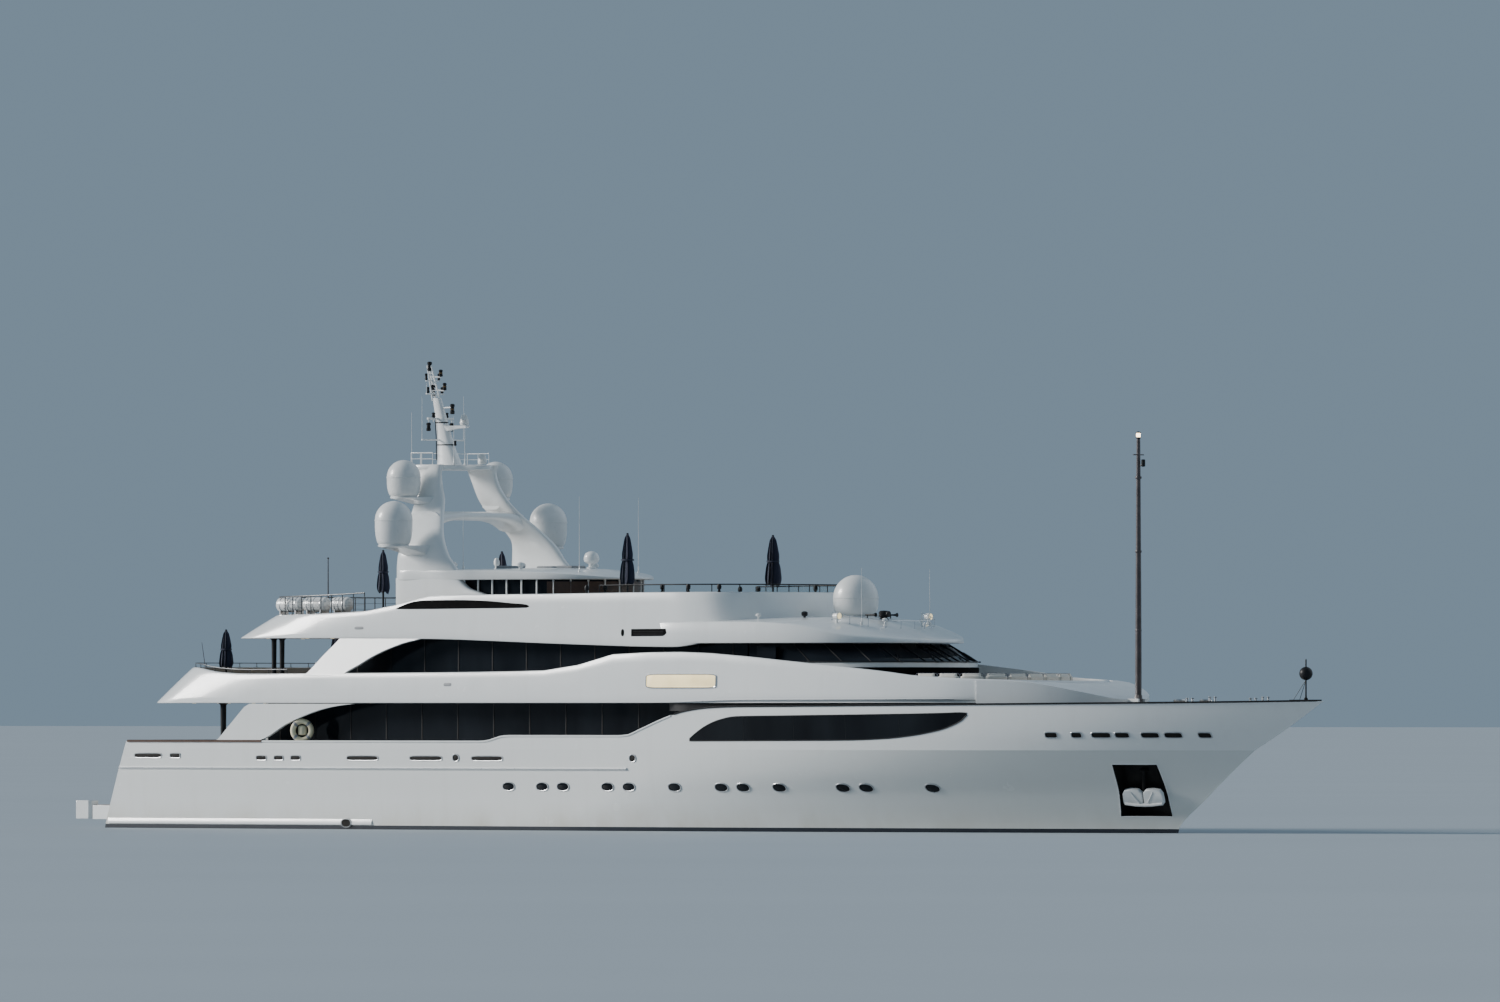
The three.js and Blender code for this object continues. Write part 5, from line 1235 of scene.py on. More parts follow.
def mast():
    f = [table([(15.28, a), (16.2, c), (17.3, d), (18.15, e)]) for a, c, d, e in ((-15.6, -15.62, -15.76, -15.93), (-14.42, -14.86, -15.24, -15.53), (0.36, 0.25, 0.17, 0.13))]
    b = Build()
    b.rings([lens(f[0](z), f[1](z), 0, f[2](z), z, 24, 2.6) for z in [15.28 + (18.12 - 15.28) * i / 26 for i in range(27)]])
    leg = [((-15.9, -0.1), (-16.22, -0.05)), ((-15.9, 0.1), (-16.22, 0.05)), ((-15.57, 0.0), (-16.06, 0.0))]
    at = lambda k, z: Vector((leg[k][0][0] + (leg[k][1][0] - leg[k][0][0]) * (z - 18.1) / 1.4, leg[k][0][1] + (leg[k][1][1] - leg[k][0][1]) * (z - 18.1) / 1.4, z))
    for k in range(3):
        b.tube([at(k, 18.0), at(k, 19.5)], 0.036, 8)
    z = 18.2
    while z < 19.45:
        P = [at(k, z) for k in range(3)]
        for i in range(3):
            b.tube([P[i], P[(i + 1) % 3]], 0.018, 6)
            if z < 19.2:
                b.tube([P[i], at((i + 1) % 3, z + 0.24)], 0.013, 6)
        z += 0.24
    for x, h, z, r in ((-15.4, 1.35, 16.35, 0.034), (-15.55, 0.8, 17.25, 0.05), (-15.84, 0.55, 18.3, 0.036), (-15.98, 0.42, 18.85, 0.03)):
        b.tube([(x, -h, z), (x, h, z)], r, 8)
    for s in (-1, 1):
        b.tube([(-15.4, s * 1.33, 16.35), (-15.4, s * 1.33, 18.2)], 0.014, 6, r2=0.006)
        b.tube([(-15.84, s * 0.53, 18.3), (-15.84, s * 0.53, 18.75)], 0.014, 6)
        b.tube([(-15.55, s * 0.42, 17.25), (-15.55, s * 0.42, 17.1)], 0.02, 6)
        b.tube([(-15.55, s * 0.74, 17.25), (-15.55, s * 0.74, 17.05)], 0.02, 6)
    b.tube([(-15.5, 0, 19.0), (-16.0, 0, 19.02)], 0.028, 6)
    b.tube([(-15.3, 0, 18.42), (-15.75, 0, 18.46)], 0.028, 6)
    ring = []
    for i in range(9):
        t = i / 8
        x = -15.45 + 1.42 * t
        d = 0.1 + 0.22 * (1 - t) ** 2
        w = 0.17 - 0.03 * t
        ring.append([(x, -w, 16.945), (x, w, 16.945), (x, w * 0.8, 16.945 - d), (x, -w * 0.8, 16.945 - d)])
    b.rings(ring)
    b.tube([(-15.45, 0, 17.7), (-14.86, 0, 17.72)], 0.035, 8)
    b.lathe([(0.05, 0), (0.05, 0.09), (0.02, 0.1)], (-16.2, 0, 19.4), 12)
    b.piece("mast_frame", "white_paint", "white_paint", replaces="mast", angle=38, bevel=0.0)
    d = Build()
    for x, y, z, r, h in ((-14.87, 0, 17.43, 0.1, 0.44), (-15.55, -0.74, 16.72, 0.1, 0.36), (-15.55, 0.74, 16.72, 0.1, 0.36), (-15.55, -0.42, 17.29, 0.085, 0.22), (-15.55, 0.42, 17.29, 0.085, 0.22), (-15.84, -0.45, 18.33, 0.07, 0.26), (-15.84, 0.45, 18.33, 0.07, 0.26),
                          (-15.3, 0, 18.44, 0.085, 0.32), (-15.52, 0, 19.02, 0.09, 0.3), (-16.14, 0, 19.27, 0.105, 0.395), (-15.95, 0, 18.2, 0.1, 0.5), (-15.98, -0.4, 18.88, 0.06, 0.28), (-15.98, 0.4, 18.88, 0.06, 0.28), (-14.72, 0.0, 16.1, 0.07, 0.22)):
        d.lathe([(r * 0.7, 0), (r, 0.02), (r, h * 0.3), (r * 0.8, h * 0.36), (r * 0.8, h * 0.68), (r, h * 0.74), (r, h - 0.03), (r * 0.5, h)], (x, y, z), 14)
    for z in (16.12, 17.06):
        d.rings([lens(f[0](z + k) - o, f[1](z + k) + o, 0, f[2](z + k) + o, z + k, 24, 2.6) for k, o in ((0, 0.0), (0.003, 0.014), (0.045, 0.014), (0.048, 0.0))])
    for s in (-1, 1):
        d.tube([(-15.5, s * 0.3, 15.5), (-15.55, s * 0.24, 16.3), (-15.66, s * 0.19, 17.2)], 0.02, 6)
    d.piece("mast_lanterns", "dark_trim", "dark_trim")
    g = Build()
    for x, y, z in ((-15.3, 0, 18.56), (-15.52, 0, 19.13), (-14.87, 0, 17.6)):
        g.lathe([(0.07, 0), (0.086, 0.01), (0.086, 0.06), (0.07, 0.07)], (x, y, z), 14)
    g.piece("mast_lantern_lenses", "lens_dim", "lamp")
    w = Build()
    for x, y, z, h in ((-15.65, -1.7, 15.3, 2.2), (-15.65, 1.7, 15.3, 2.2), (-14.0, -0.9, 15.3, 2.0), (-6.2, -1.9, 10.7, 3.2), (-6.2, 1.9, 10.7, 3.2), (-12.0, -2.6, 10.9, 2.4), (9.3, 2.2, 8.5, 2.3), (9.3, -2.2, 8.5, 2.3)):
        w.lathe([(0.05, 0), (0.05, 0.08), (0.025, 0.14), (0.022, 0.32)], (x, y, z - 0.02), 10)
        w.tube([(x, y, z + 0.25), (x - 0.01, y, z + h)], 0.014, 6, r2=0.005)
    w.piece("whip_antennas", "dome_plastic", "dome_plastic")


mast()


def dome(node, x, y, z, r, foot, flare):
    b = Build()
    prof = [(0.03, foot), (r * flare - 0.06, foot), (r * flare - 0.02, foot + 0.015), (r * flare, foot + 0.05)]
    z1 = z - 0.3 * r
    for i in range(1, 11):
        t = i / 10
        prof.append((r * (flare + (1 - flare) * math.sin(math.pi / 2 * t) ** 0.8), foot + 0.05 + (z1 - foot - 0.05) * (1 - math.cos(math.pi / 2 * t)) ** 0.75))
    prof += [(r, z - 0.045), (r + 0.014, z - 0.04), (r + 0.014, z + 0.01), (r, z + 0.015)]
    for i in range(1, 17):
        q = math.pi / 2 * i / 16
        prof.append((max(r * math.cos(q), 0.001), z + r * math.sin(q)))
    b.lathe(prof, (x, y, 0), 56)
    b.piece(node + "_shell", "dome_plastic", "dome_plastic", replaces=node, angle=45)
    h = Build()
    h.lathe([(r * flare * 0.72, -0.003), (r * flare - 0.03, 0.0), (r * flare + 0.006, 0.01), (r * flare + 0.006, 0.035), (r * flare * 0.98, 0.04)], (x, y, foot), 40)
    for i in range(12):
        q = 2 * math.pi * i / 12
        h.lathe([(0.018, 0), (0.018, 0.02), (0.01, 0.03)], (x + (r * flare - 0.012) * math.cos(q), y + (r * flare - 0.012) * math.sin(q), foot + 0.03), 8)
    h.piece(node + "_flange", "dome_plastic", "dome_plastic")


for tag, s in (("starboard", -1), ("port", 1)):
    dome(f"dome_lower_{tag}", -13.8, s * 4.95, 12.93, 0.79, 11.87, 0.8)
    dome(f"dome_upper_{tag}", -15.0, s * 2.95, 14.76, 0.71, 13.92, 0.78)
dome("dome_forward", 7.16, 0, 9.62, 0.93, 8.86, 0.78)


# ---------------------------------------------------------------- foremast, jackstaff, anchors
def foremast():
    b = Build()
    b.lathe([(0.11, 5.1), (0.13, 5.12), (0.13, 7), (0.12, 9.5), (0.105, 12), (0.09, 14.5), (0.078, 15.9), (0.07, 16.0), (0.03, 16.02)], (22.05, 0, 0), 20)
    block(b, 21.93, 22.17, -0.12, 0.12, 5.1, 5.6, 0.03)
    for z in (8.2, 11.4, 14.4):
        b.lathe([(0.12, -0.03), (0.135, 0), (0.135, 0.05), (0.12, 0.08)], (22.05, 0, z), 20)
    b.tube([(22.05, -0.34, 15.35), (22.05, 0.34, 15.35)], 0.025, 8)
    b.tube([(22.12, 0, 14.9), (22.3, 0, 14.95)], 0.025, 8)
    b.piece("foremast_spar", "dark_spar", "dark_spar", BODY["foremast"], "foremast", angle=40)
    d = Build()
    d.lathe([(0.05, 0), (0.085, 0.02), (0.085, 0.28), (0.05, 0.3)], (22.3, 0, 14.86), 16)
    d.lathe([(0.06, 0), (0.1, 0.02), (0.1, 0.06), (0.06, 0.07)], (22.05, 0, 16.0), 16)
    d.lathe([(0.1, 0), (0.1, 0.03), (0.04, 0.06), (0.01, 0.07)], (22.05, 0, 16.23), 16)
    d.piece("foremast_fittings", "dark_trim", "dark_trim", BODY["foremast"])
    g = Build()
    g.lathe([(0.07, 0), (0.088, 0.02), (0.09, 0.09), (0.088, 0.15), (0.07, 0.17)], (22.05, 0, 16.065), 16)
    g.piece("foremast_lamp", "lamp_bright", "lamp", BODY["foremast"])
    j = Build()
    j.prism([(30.15, 0.42), (30.6, 0.38), (31.0, 0.27), (31.4, 0.1), (31.45, 0), (31.4, -0.1), (31.0, -0.27), (30.6, -0.38), (30.15, -0.42)], lambda x, y: (x, y, 5.355), lambda x, y: (x, y, 5.41))
    j.lathe([(0.08, 5.4), (0.08, 5.46), (0.04, 5.5), (0.034, 5.6), (0.03, 7.0), (0.015, 7.05)], (30.67, 0, 0), 14)
    j.tube([(30.67, 0, 6.2), (30.2, 0.2, 5.42)], 0.012, 6)
    j.tube([(30.67, 0, 6.2), (30.2, -0.2, 5.42)], 0.012, 6)
    j.lathe([(0.272 * math.sin(math.pi * i / 20) + 0.0005, 6.46 - 0.272 * math.cos(math.pi * i / 20)) for i in range(21)], (30.67, 0, 0), 32)
    j.piece("jackstaff_and_ball", "dark_trim", "dark_trim", replaces="jackstaff", angle=40)


foremast()


def anchor(side, tag):
    q = {k: Vector(v) for k, v in {"A": (21.85, side * 0.16, 0.67), "B": (24.0, side * 0.1, 0.67), "C": (24.2, side * 0.95, 2.8), "D": (22.43, side * 1.45, 2.8)}.items()}
    out = (q["B"] - q["A"]).cross(q["D"] - q["A"]).normalized()
    if out.y * side < 0:
        out = -out

    def at(a, c, d):
        lo, hi = q["A"].lerp(q["B"], a), q["D"].lerp(q["C"], a)
        return lo.lerp(hi, c) + out * (d + 0.27)

    b = Build()
    for s in (-1, 1):
        pts = [(0.5 + s * 0.012, 0.36), (0.5 + s * 0.47, 0.365), (0.5 + s * 0.478, 0.42), (0.5 + s * 0.47, 0.55), (0.5 + s * 0.42, 0.62), (0.5 + s * 0.26, 0.642), (0.5 + s * 0.09, 0.63), (0.5 + s * 0.018, 0.57)]
        b.rings([[at(a, c, 0.10) for a, c in pts], [at(a, c, 0.2 + 0.05 * (0.7 - c)) for a, c in pts],
                 [at(0.5 + s * 0.24 + (a - 0.5 - s * 0.24) * 0.93, 0.5 + (c - 0.5) * 0.9, 0.24) for a, c in pts]])
        ridge = [at(0.5 + s * (0.1 + 0.16 * t), 0.39 + 0.2 * t, 0.25) for t in (0, 0.33, 0.66, 1)]
        b.tube(ridge, 0.045, 8, r2=0.02)
    b.tube([at(0.06, 0.37, 0.2), at(0.3, 0.35, 0.22), at(0.5, 0.345, 0.22), at(0.7, 0.35, 0.22), at(0.94, 0.37, 0.2)], 0.075, 12)
    b.piece(f"anchor_flukes_{tag}", "anchor", "steel", replaces=f"anchor_{tag}", angle=35)
    # the shank and its fittings are near-black: painted shadow, as they sit in the shade of the pocket
    d = Build()
    d.tube([at(0.5, 0.36, 0.14), at(0.5, 0.66, 0.02), at(0.5, 0.9, -0.18)], 0.07, 10)
    d.lathe([(0.16, -0.05), (0.18, 0), (0.16, 0.05)], at(0.5, 0.9, -0.2), 16)
    for a in (0.2, 0.8):
        d.tube([at(a, 0.1, -0.25), at(a, 0.95, -0.25)], 0.03, 6)
        d.tube([at(a, 0.39, -0.26), at(a, 0.38, 0.12)], 0.045, 8)
    d.piece(f"anchor_shank_{tag}", "pocket", "steel")


both(anchor)

# ---------------------------------------------------------------- rails, deck gear and furniture
def rails():
    b = Build()
    rail(b, over(SUN_T, sun_top, -22, -14.9), 0.76, 0.62, r=0.03)
    b.piece("sun_deck_aft_rail", "rail_dark", "dark_trim")
    b = Build()
    rail(b, over(UP_T, up_top, -26.5, -19.2), 0.17, 1.1, (), 0.02)
    b.piece("upper_deck_aft_rail", "rail_dark", "dark_trim")
    b = Build()
    P = over(SUN_T, sun_top, -3.6, 6, fore=True, dz=-0.03)
    rail(b, P, 0.34, 1.15, (), 0.026)
    b.piece("sun_deck_windscreen_rail", "dark_trim", "dark_trim")
    g = Build()
    R = resample(P, 0.4)
    g.sweep([p + UP * 0.02 for p in R], [(-0.008, 0.0), (0.008, 0.0), (0.008, 0.29), (-0.008, 0.29)])
    g.piece("sun_deck_windscreen", "tinted", "dark_glass")
    b = Build()
    for s in (-1, 1):
        pts = [Vector((x, s * y, z)) for x, y, z in ((8.3, 2.9, 8.68), (9.0, 2.6, 8.52), (9.7, 2.05, 8.4), (10.15, 1.2, 8.34), (10.3, 0.0, 8.33))]
        rail(b, pts, 0.32, 0.7, (), 0.016)
    b.piece("wheelhouse_roof_rail", "chrome", "chrome")
    b = Build()
    for s in (-1, 1):
        for y in (3.63, 4.67):
            pts = [Vector((-29.3 + 0.28 * i, s * y, 0.95 + 0.206 * i)) for i in range(9)]
            P = [pts[0], pts[4], pts[8]]
            for p in P:
                b.tube([p, p + UP * 0.85], 0.02, 8)
            b.tube([pts[0] + UP * 0.6 + Vector((-0.15, 0, 0)), pts[0] + UP * 0.83, pts[4] + UP * 0.85, pts[8] + UP * 0.85, pts[8] + Vector((0.35, 0, 0.85))], 0.024, 8)
    b.piece("stern_stair_rails", "chrome", "chrome")
    b = Build()
    for s in (-1, 1):
        pts = [Vector((x, s * (half(x, 4.3) - 0.5), 4.35)) for x in (19.2, 20.5, 22, 23.5, 25, 26.2)]
        for p in pts[::2]:
            b.tube([p, p + UP * 0.8], 0.02, 8)
        b.tube([p + UP * 0.8 for p in pts], 0.022, 8)
    b.piece("mooring_deck_rails", "chrome", "chrome")
    b = Build()
    b.tube([(-21.4, -0.5, 8.9), (-21.4, -0.5, 11.4)], 0.036, 10, r2=0.02)
    b.lathe([(0.03, 0), (0.05, 0.03), (0.03, 0.06), (0.005, 0.07)], (-21.4, -0.5, 11.38), 10)
    b.lathe([(0.09, 0), (0.09, 0.04), (0.05, 0.1), (0.05, 0.3)], (-21.4, -0.5, 8.98), 12)
    b.tube([(-25.95, -3.2, 6.78), (-26.15, -3.2, 7.85)], 0.018, 8, r2=0.01)
    b.piece("staffs", "dark_spar", "dark_spar")


M["tinted"] = plain("clear_screen", (0.90, 0.93, 0.93), (0.86, 0.90, 0.90), 0.05, scale=2, Transmission_Weight=1.0, IOR=1.06, Specular_IOR_Level=0.1)
rails()


def pillars(side, tag):
    b = Build()
    # the pillars are black: painted shade, for the shade they stand in under the decks above
    b.lathe([(0.2, 2.6), (0.2, 2.64), (0.13, 2.7), (0.12, 4.0), (0.13, 5.2), (0.2, 5.27), (0.2, 5.3)], (-23.4, side * 4.9, 0), 20)
    b.lathe([(0.18, 5.5), (0.18, 5.54), (0.11, 5.6), (0.1, 7.0), (0.11, 7.93), (0.18, 7.99), (0.18, 8.01)], (-20.85, side * 4.55, 0), 20)
    b.lathe([(0.18, 5.5), (0.18, 5.54), (0.11, 5.6), (0.1, 7.0), (0.11, 7.93), (0.18, 7.99), (0.18, 8.01)], (-20.4, side * 4.55, 0), 20)
    b.piece(f"deck_pillars_{tag}", "dark_trim", "dark_trim")
    g = Build()
    for x in (-26.4, -25.0, -22.4):
        for y in (1.2, 3.4):
            g.lathe([(0.07, -0.005), (0.08, 0), (0.08, 0.015)], (x, side * y, 5.278), 16)
    for x in (-22.2, -20.0, -18.6):
        for y in (1.2, 3.4):
            g.lathe([(0.07, -0.005), (0.08, 0), (0.08, 0.015)], (x, side * y, 7.998), 16)
    g.piece(f"deckhead_lamps_{tag}", "lamp", "lamp")
    r = Build()
    c = Vector((-18.5, side * 5.42, 4.13))
    n = Vector((0.5, side * 0.866, 0))
    e = n.cross(UP)
    r.tube([c + (e * math.cos(q) + UP * math.sin(q)) * 0.39 for q in (2 * math.pi * i / 36 for i in range(36))], 0.115, 16, closed=True)
    r.lathe([(0.02, -0.2), (0.16, -0.19), (0.19, -0.16), (0.19, 0.12), (0.15, 0.2), (0.02, 0.22)], c - n * 0.1, 20)
    r.piece(f"lifebuoy_{tag}", "cream", "lamp")
    h = Build()
    for q in (45, 135, 225, 315):
        a = math.radians(q)
        u = e * math.cos(a) + UP * math.sin(a)
        t = e * -math.sin(a) + UP * math.cos(a)
        h.rings([[c + u * 0.39 + t * w + (u * math.cos(v) + n * math.sin(v)) * 0.122 for v in (2 * math.pi * j / 16 for j in range(16))] for w in (-0.05, 0.05)])
    h.tube([c - e * 0.3 - n * 0.16 - UP * 0.44, c + e * 0.3 - n * 0.16 - UP * 0.44], 0.02, 8)
    for x in (-0.25, 0.25):
        h.tube([c + e * x - UP * 0.36, c + e * x - n * 0.16 - UP * 0.45, Vector((c.x + x, side * 5.5, 3.66))], 0.02, 8)
    h.piece(f"lifebuoy_bands_{tag}", "grey", "dark_trim")


both(pillars)


def canisters(side, tag):
    b, d = Build(), Build()
    for x0, x1 in ((-20.95, -19.6), (-19.25, -18.0), (-17.7, -16.75)):
        y = side * (4.12 if x0 < -20 else 4.34)
        n = 24
        r = 0.31
        prof = [(0.02, 0), (r * 0.7, 0.02), (r * 0.93, 0.08), (r, 0.18), (r, (x1 - x0) - 0.18), (r * 0.93, (x1 - x0) - 0.08), (r * 0.7, (x1 - x0) - 0.02), (0.02, x1 - x0)]
        b.lathe(prof, (x0, y, 9.42), n, "x")
        for x in (x0 + 0.25, x1 - 0.25):
            d.lathe([(r, 0), (r + 0.012, 0.004), (r + 0.012, 0.046), (r, 0.05)], (x, y, 9.42), n, "x")
            d.box(x, x + 0.05, y - 0.26, y + 0.26, 8.2, 9.2)
        d.lathe([(r + 0.008, 0), (r + 0.016, 0.004), (r + 0.016, 0.026), (r + 0.008, 0.03)], ((x0 + x1) / 2, y, 9.42), n, "x")
    b.piece(f"raft_canisters_{tag}", "dome_plastic", "dome_plastic")
    d.piece(f"raft_cradles_{tag}", "steel", "steel")


both(canisters)


def roof_gear():
    b, d, g = Build(), Build(), Build()
    for s in (-1, 1):
        b.lathe([(0.12, 0), (0.12, 0.05), (0.05, 0.1), (0.05, 0.22)], (8.6, s * 2.95, 8.5), 16)
        b.lathe([(0.06, -0.16), (0.13, -0.12), (0.15, 0.1), (0.13, 0.13)], (8.6, s * 2.95, 8.84), 18, "x")
        g.lathe([(0.02, 0.128), (0.125, 0.13), (0.12, 0.14), (0.02, 0.145)], (8.6, s * 2.95, 8.84), 18, "x")
        for x, y, z in ((5.2, 3.9, 8.62), (9.7, 1.2, 8.42)):
            b.lathe([(0.09, 0), (0.09, 0.03), (0.03, 0.05), (0.03, 0.2), (0.11, 0.23), (0.12, 0.28), (0.08, 0.33), (0.01, 0.35)], (x, s * y, z), 18)
    for y in (-2.5, 2.5):
        d.lathe([(0.05, 8.6), (0.05, 8.84), (0.11, 8.86), (0.13, 8.9), (0.13, 9.0), (0.08, 9.04), (0.01, 9.05)], (6.5, y, 0), 18)
    for y, l in ((0.75, 0.45), (-0.75, 0.55)):
        d.lathe([(0.03, 0), (0.035, l * 0.5), (0.05, l * 0.8), (0.09, l)], (8.3, y, 8.9), 16, "x")
        d.tube([(8.4, y, 8.7), (8.4, y, 8.9)], 0.025, 8)
    d.lathe([(0.2, 8.6), (0.2, 8.74), (0.15, 8.76), (0.15, 8.8), (0.21, 8.83), (0.22, 9.0), (0.16, 9.07), (0.02, 9.08)], (8.95, -0.35, 0), 24)
    d.lathe([(0.12, -0.02), (0.13, 0.12), (0.11, 0.14)], (9.1, -0.35, 8.93), 18, "x")
    b.piece("roof_lights_and_aerials", "dome_plastic", "dome_plastic")
    d.piece("roof_horns", "dark_trim", "dark_trim")
    g.piece("searchlight_glass", "lamp", "lamp")
    k = Build()
    for s in (-1, 1):
        for x, y, r, h in ((-9.0, 2.4, 0.14, 0.28), (-12.9, 2.2, 0.17, 0.32), (-12.4, 0.0, 0.12, 0.5)):
            k.lathe([(r * 0.6, 0), (r * 0.6, h * 0.3), (r, h * 0.42), (r, h * 0.7), (r * 0.6, h * 0.95), (0.01, h)], (x, s * y, 10.88), 20)
    k.piece("hardtop_aerials", "dome_plastic", "dome_plastic")
    e = Build()
    for x in (-3.2, -2.2, 0.9, 2.3, 3.6):
        for s in (-1, 1):
            y = {3.6: 4.5}.get(x, 4.93)
            e.lathe([(0.07, -0.02), (0.07, 0.03), (0.05, 0.05), (0.05, 0.1), (0.09, 0.13), (0.1, 0.24), (0.06, 0.33), (0.01, 0.34)], (x, s * y, sun_top(x)), 12)
    e.piece("sun_deck_lamps", "dark_trim", "dark_trim")


roof_gear()


def chair(b, x, y, z, turn):
    c, s = math.cos(turn), math.sin(turn)
    p = lambda a, q, h: (x + a * c - q * s, y + a * s + q * c, z + h)
    for a, q in ((-0.22, -0.22), (0.22, -0.22), (-0.22, 0.22), (0.22, 0.22)):
        b.tube([p(a, q, 0), p(a * 0.95, q, 0.44)], 0.022, 6)
    for k in range(5):
        a = -0.21 + 0.105 * k
        b.add([p(a - 0.04, -0.25, 0.44), p(a + 0.04, -0.25, 0.44), p(a + 0.04, 0.25, 0.44), p(a - 0.04, 0.25, 0.44), p(a - 0.04, -0.25, 0.47), p(a + 0.04, -0.25, 0.47), p(a + 0.04, 0.25, 0.47), p(a - 0.04, 0.25, 0.47)],
              [(3, 2, 1, 0), (4, 5, 6, 7), (0, 1, 5, 4), (1, 2, 6, 5), (2, 3, 7, 6), (3, 0, 4, 7)])
    b.tube([p(-0.22, -0.24, 0.44), p(-0.3, -0.25, 1.02)], 0.022, 6)
    b.tube([p(-0.22, 0.24, 0.44), p(-0.3, 0.25, 1.02)], 0.022, 6)
    for h in (0.62, 0.74, 0.86, 0.98):
        b.tube([p(-0.24 - h * 0.06, -0.25, h), p(-0.24 - h * 0.06 - 0.03, 0, h), p(-0.24 - h * 0.06, 0.25, h)], 0.024, 6)
    for q in (-0.25, 0.25):
        b.tube([p(-0.27, q, 0.68), p(0.2, q, 0.66), p(0.22, q, 0.44)], 0.02, 6)


def dining(name, x, y, z, a, c, n):
    t = Build()
    rings = []
    for h, k in ((0.70, -0.03), (0.70, -0.005), (0.715, 0), (0.745, 0), (0.76, -0.01), (0.76, -0.05)):
        rings.append([(x + math.copysign(abs(math.cos(q)) ** 0.6, math.cos(q)) * (a + k), y + math.copysign(abs(math.sin(q)) ** 0.6, math.sin(q)) * (c + k), z + h) for q in (2 * math.pi * i / 48 for i in range(48))])
    t.rings(rings)
    for s in (-1, 1):
        t.lathe([(0.3, 0), (0.3, 0.03), (0.1, 0.08), (0.08, 0.4), (0.12, 0.66), (0.3, 0.7)], (x, y + s * c * 0.55, z), 20)
    t.piece(name + "_table", "teak", "teak")
    b = Build()
    for i in range(n):
        q = 2 * math.pi * (i + 0.5) / n
        px, py = x + (a + 0.32) * math.copysign(abs(math.cos(q)) ** 0.7, math.cos(q)), y + (c + 0.32) * math.copysign(abs(math.sin(q)) ** 0.7, math.sin(q))
        chair(b, px, py, z, math.atan2(y - py, x - px))
    b.piece(name + "_chairs", "stove_brown", "teak")


dining("main_deck_dining", -24.9, 0, 2.6, 0.85, 1.75, 10)
dining("upper_deck_dining", -21.9, 0, 5.5, 0.95, 2.1, 12)


def lounger(b, x, y, z, s):
    for q in (-0.32, 0.32):
        b.tube([(x - 0.95, y + q, z + 0.3), (x + 0.25, y + q, z + 0.3)], 0.03, 8)
        b.tube([(x + 0.25, y + q, z + 0.3), (x + 0.9, y + q, z + 0.62)], 0.026, 8)
        for dx in (-0.85, 0.35):
            b.tube([(x + dx, y + q, z), (x + dx, y + q, z + 0.3)], 0.028, 8)
    for k in range(13):
        dx = -0.9 + 0.095 * k
        b.box(x + dx - 0.036, x + dx + 0.036, y - 0.31, y + 0.31, z + 0.3, z + 0.335)
    for k in range(7):
        t = (k + 0.5) / 7
        cx, cz = x + 0.25 + 0.65 * t, z + 0.31 + 0.32 * t
        b.box(cx - 0.032, cx + 0.032, y - 0.31, y + 0.31, cz, cz + 0.03)
    return b


def sun_deck_things():
    b = Build()
    for y in (-3.3, -2.2, -1.1, 0.0, 1.1, 2.2, 3.3):
        lounger(b, -19.2, y, 8.2, 1)
    b.piece("sun_loungers", "teak", "teak")
    c = Build()
    block(c, -8.6, -7.9, -1.7, 1.7, 8.2, 9.22, 0.05)
    block(c, -6.9, -6.3, -1.2, 1.2, 8.2, 9.1, 0.05)
    c.piece("bar_counter", "white_paint", "white_paint")
    t = Build()
    block(t, -8.75, -7.8, -1.82, 1.82, 9.22, 9.28, 0.025)
    t.piece("bar_counter_top", "stove_brown", "teak")
    s = Build()
    for y in (-1.35, -0.45, 0.45, 1.35):
        s.lathe([(0.2, 0), (0.2, 0.02), (0.03, 0.06), (0.03, 0.68), (0.17, 0.7), (0.19, 0.74), (0.17, 0.78), (0.02, 0.79)], (-9.3, y, 8.2), 20)
    s.piece("bar_stools", "chrome", "chrome")
    # table in each settee
    for name, x, z in (("foredeck", 14.5, 5.5), ("sun_deck", 1.75, 8.2)):
        k = Build()
        rings = []
        for h, q in ((0.50, -0.03), (0.51, 0), (0.54, 0), (0.555, -0.02)):
            rings.append([(x + math.copysign(abs(math.cos(u)) ** 0.7, math.cos(u)) * (0.55 + q), math.copysign(abs(math.sin(u)) ** 0.7, math.sin(u)) * (1.15 + q), z + h) for u in (2 * math.pi * i / 40 for i in range(40))])
        k.rings(rings)
        for y in (-0.6, 0.6):
            k.lathe([(0.22, 0), (0.22, 0.02), (0.06, 0.06), (0.06, 0.44), (0.2, 0.5)], (x, y, z), 18)
        k.piece(f"{name}_low_table", "teak", "teak")


sun_deck_things()
b = Build()
for y in (-1.9, -0.65, 0.65, 1.9):
    chair(b, 13.15, y, 5.5, 0)
b.piece("foredeck_chairs", "dark_trim", "dark_trim")


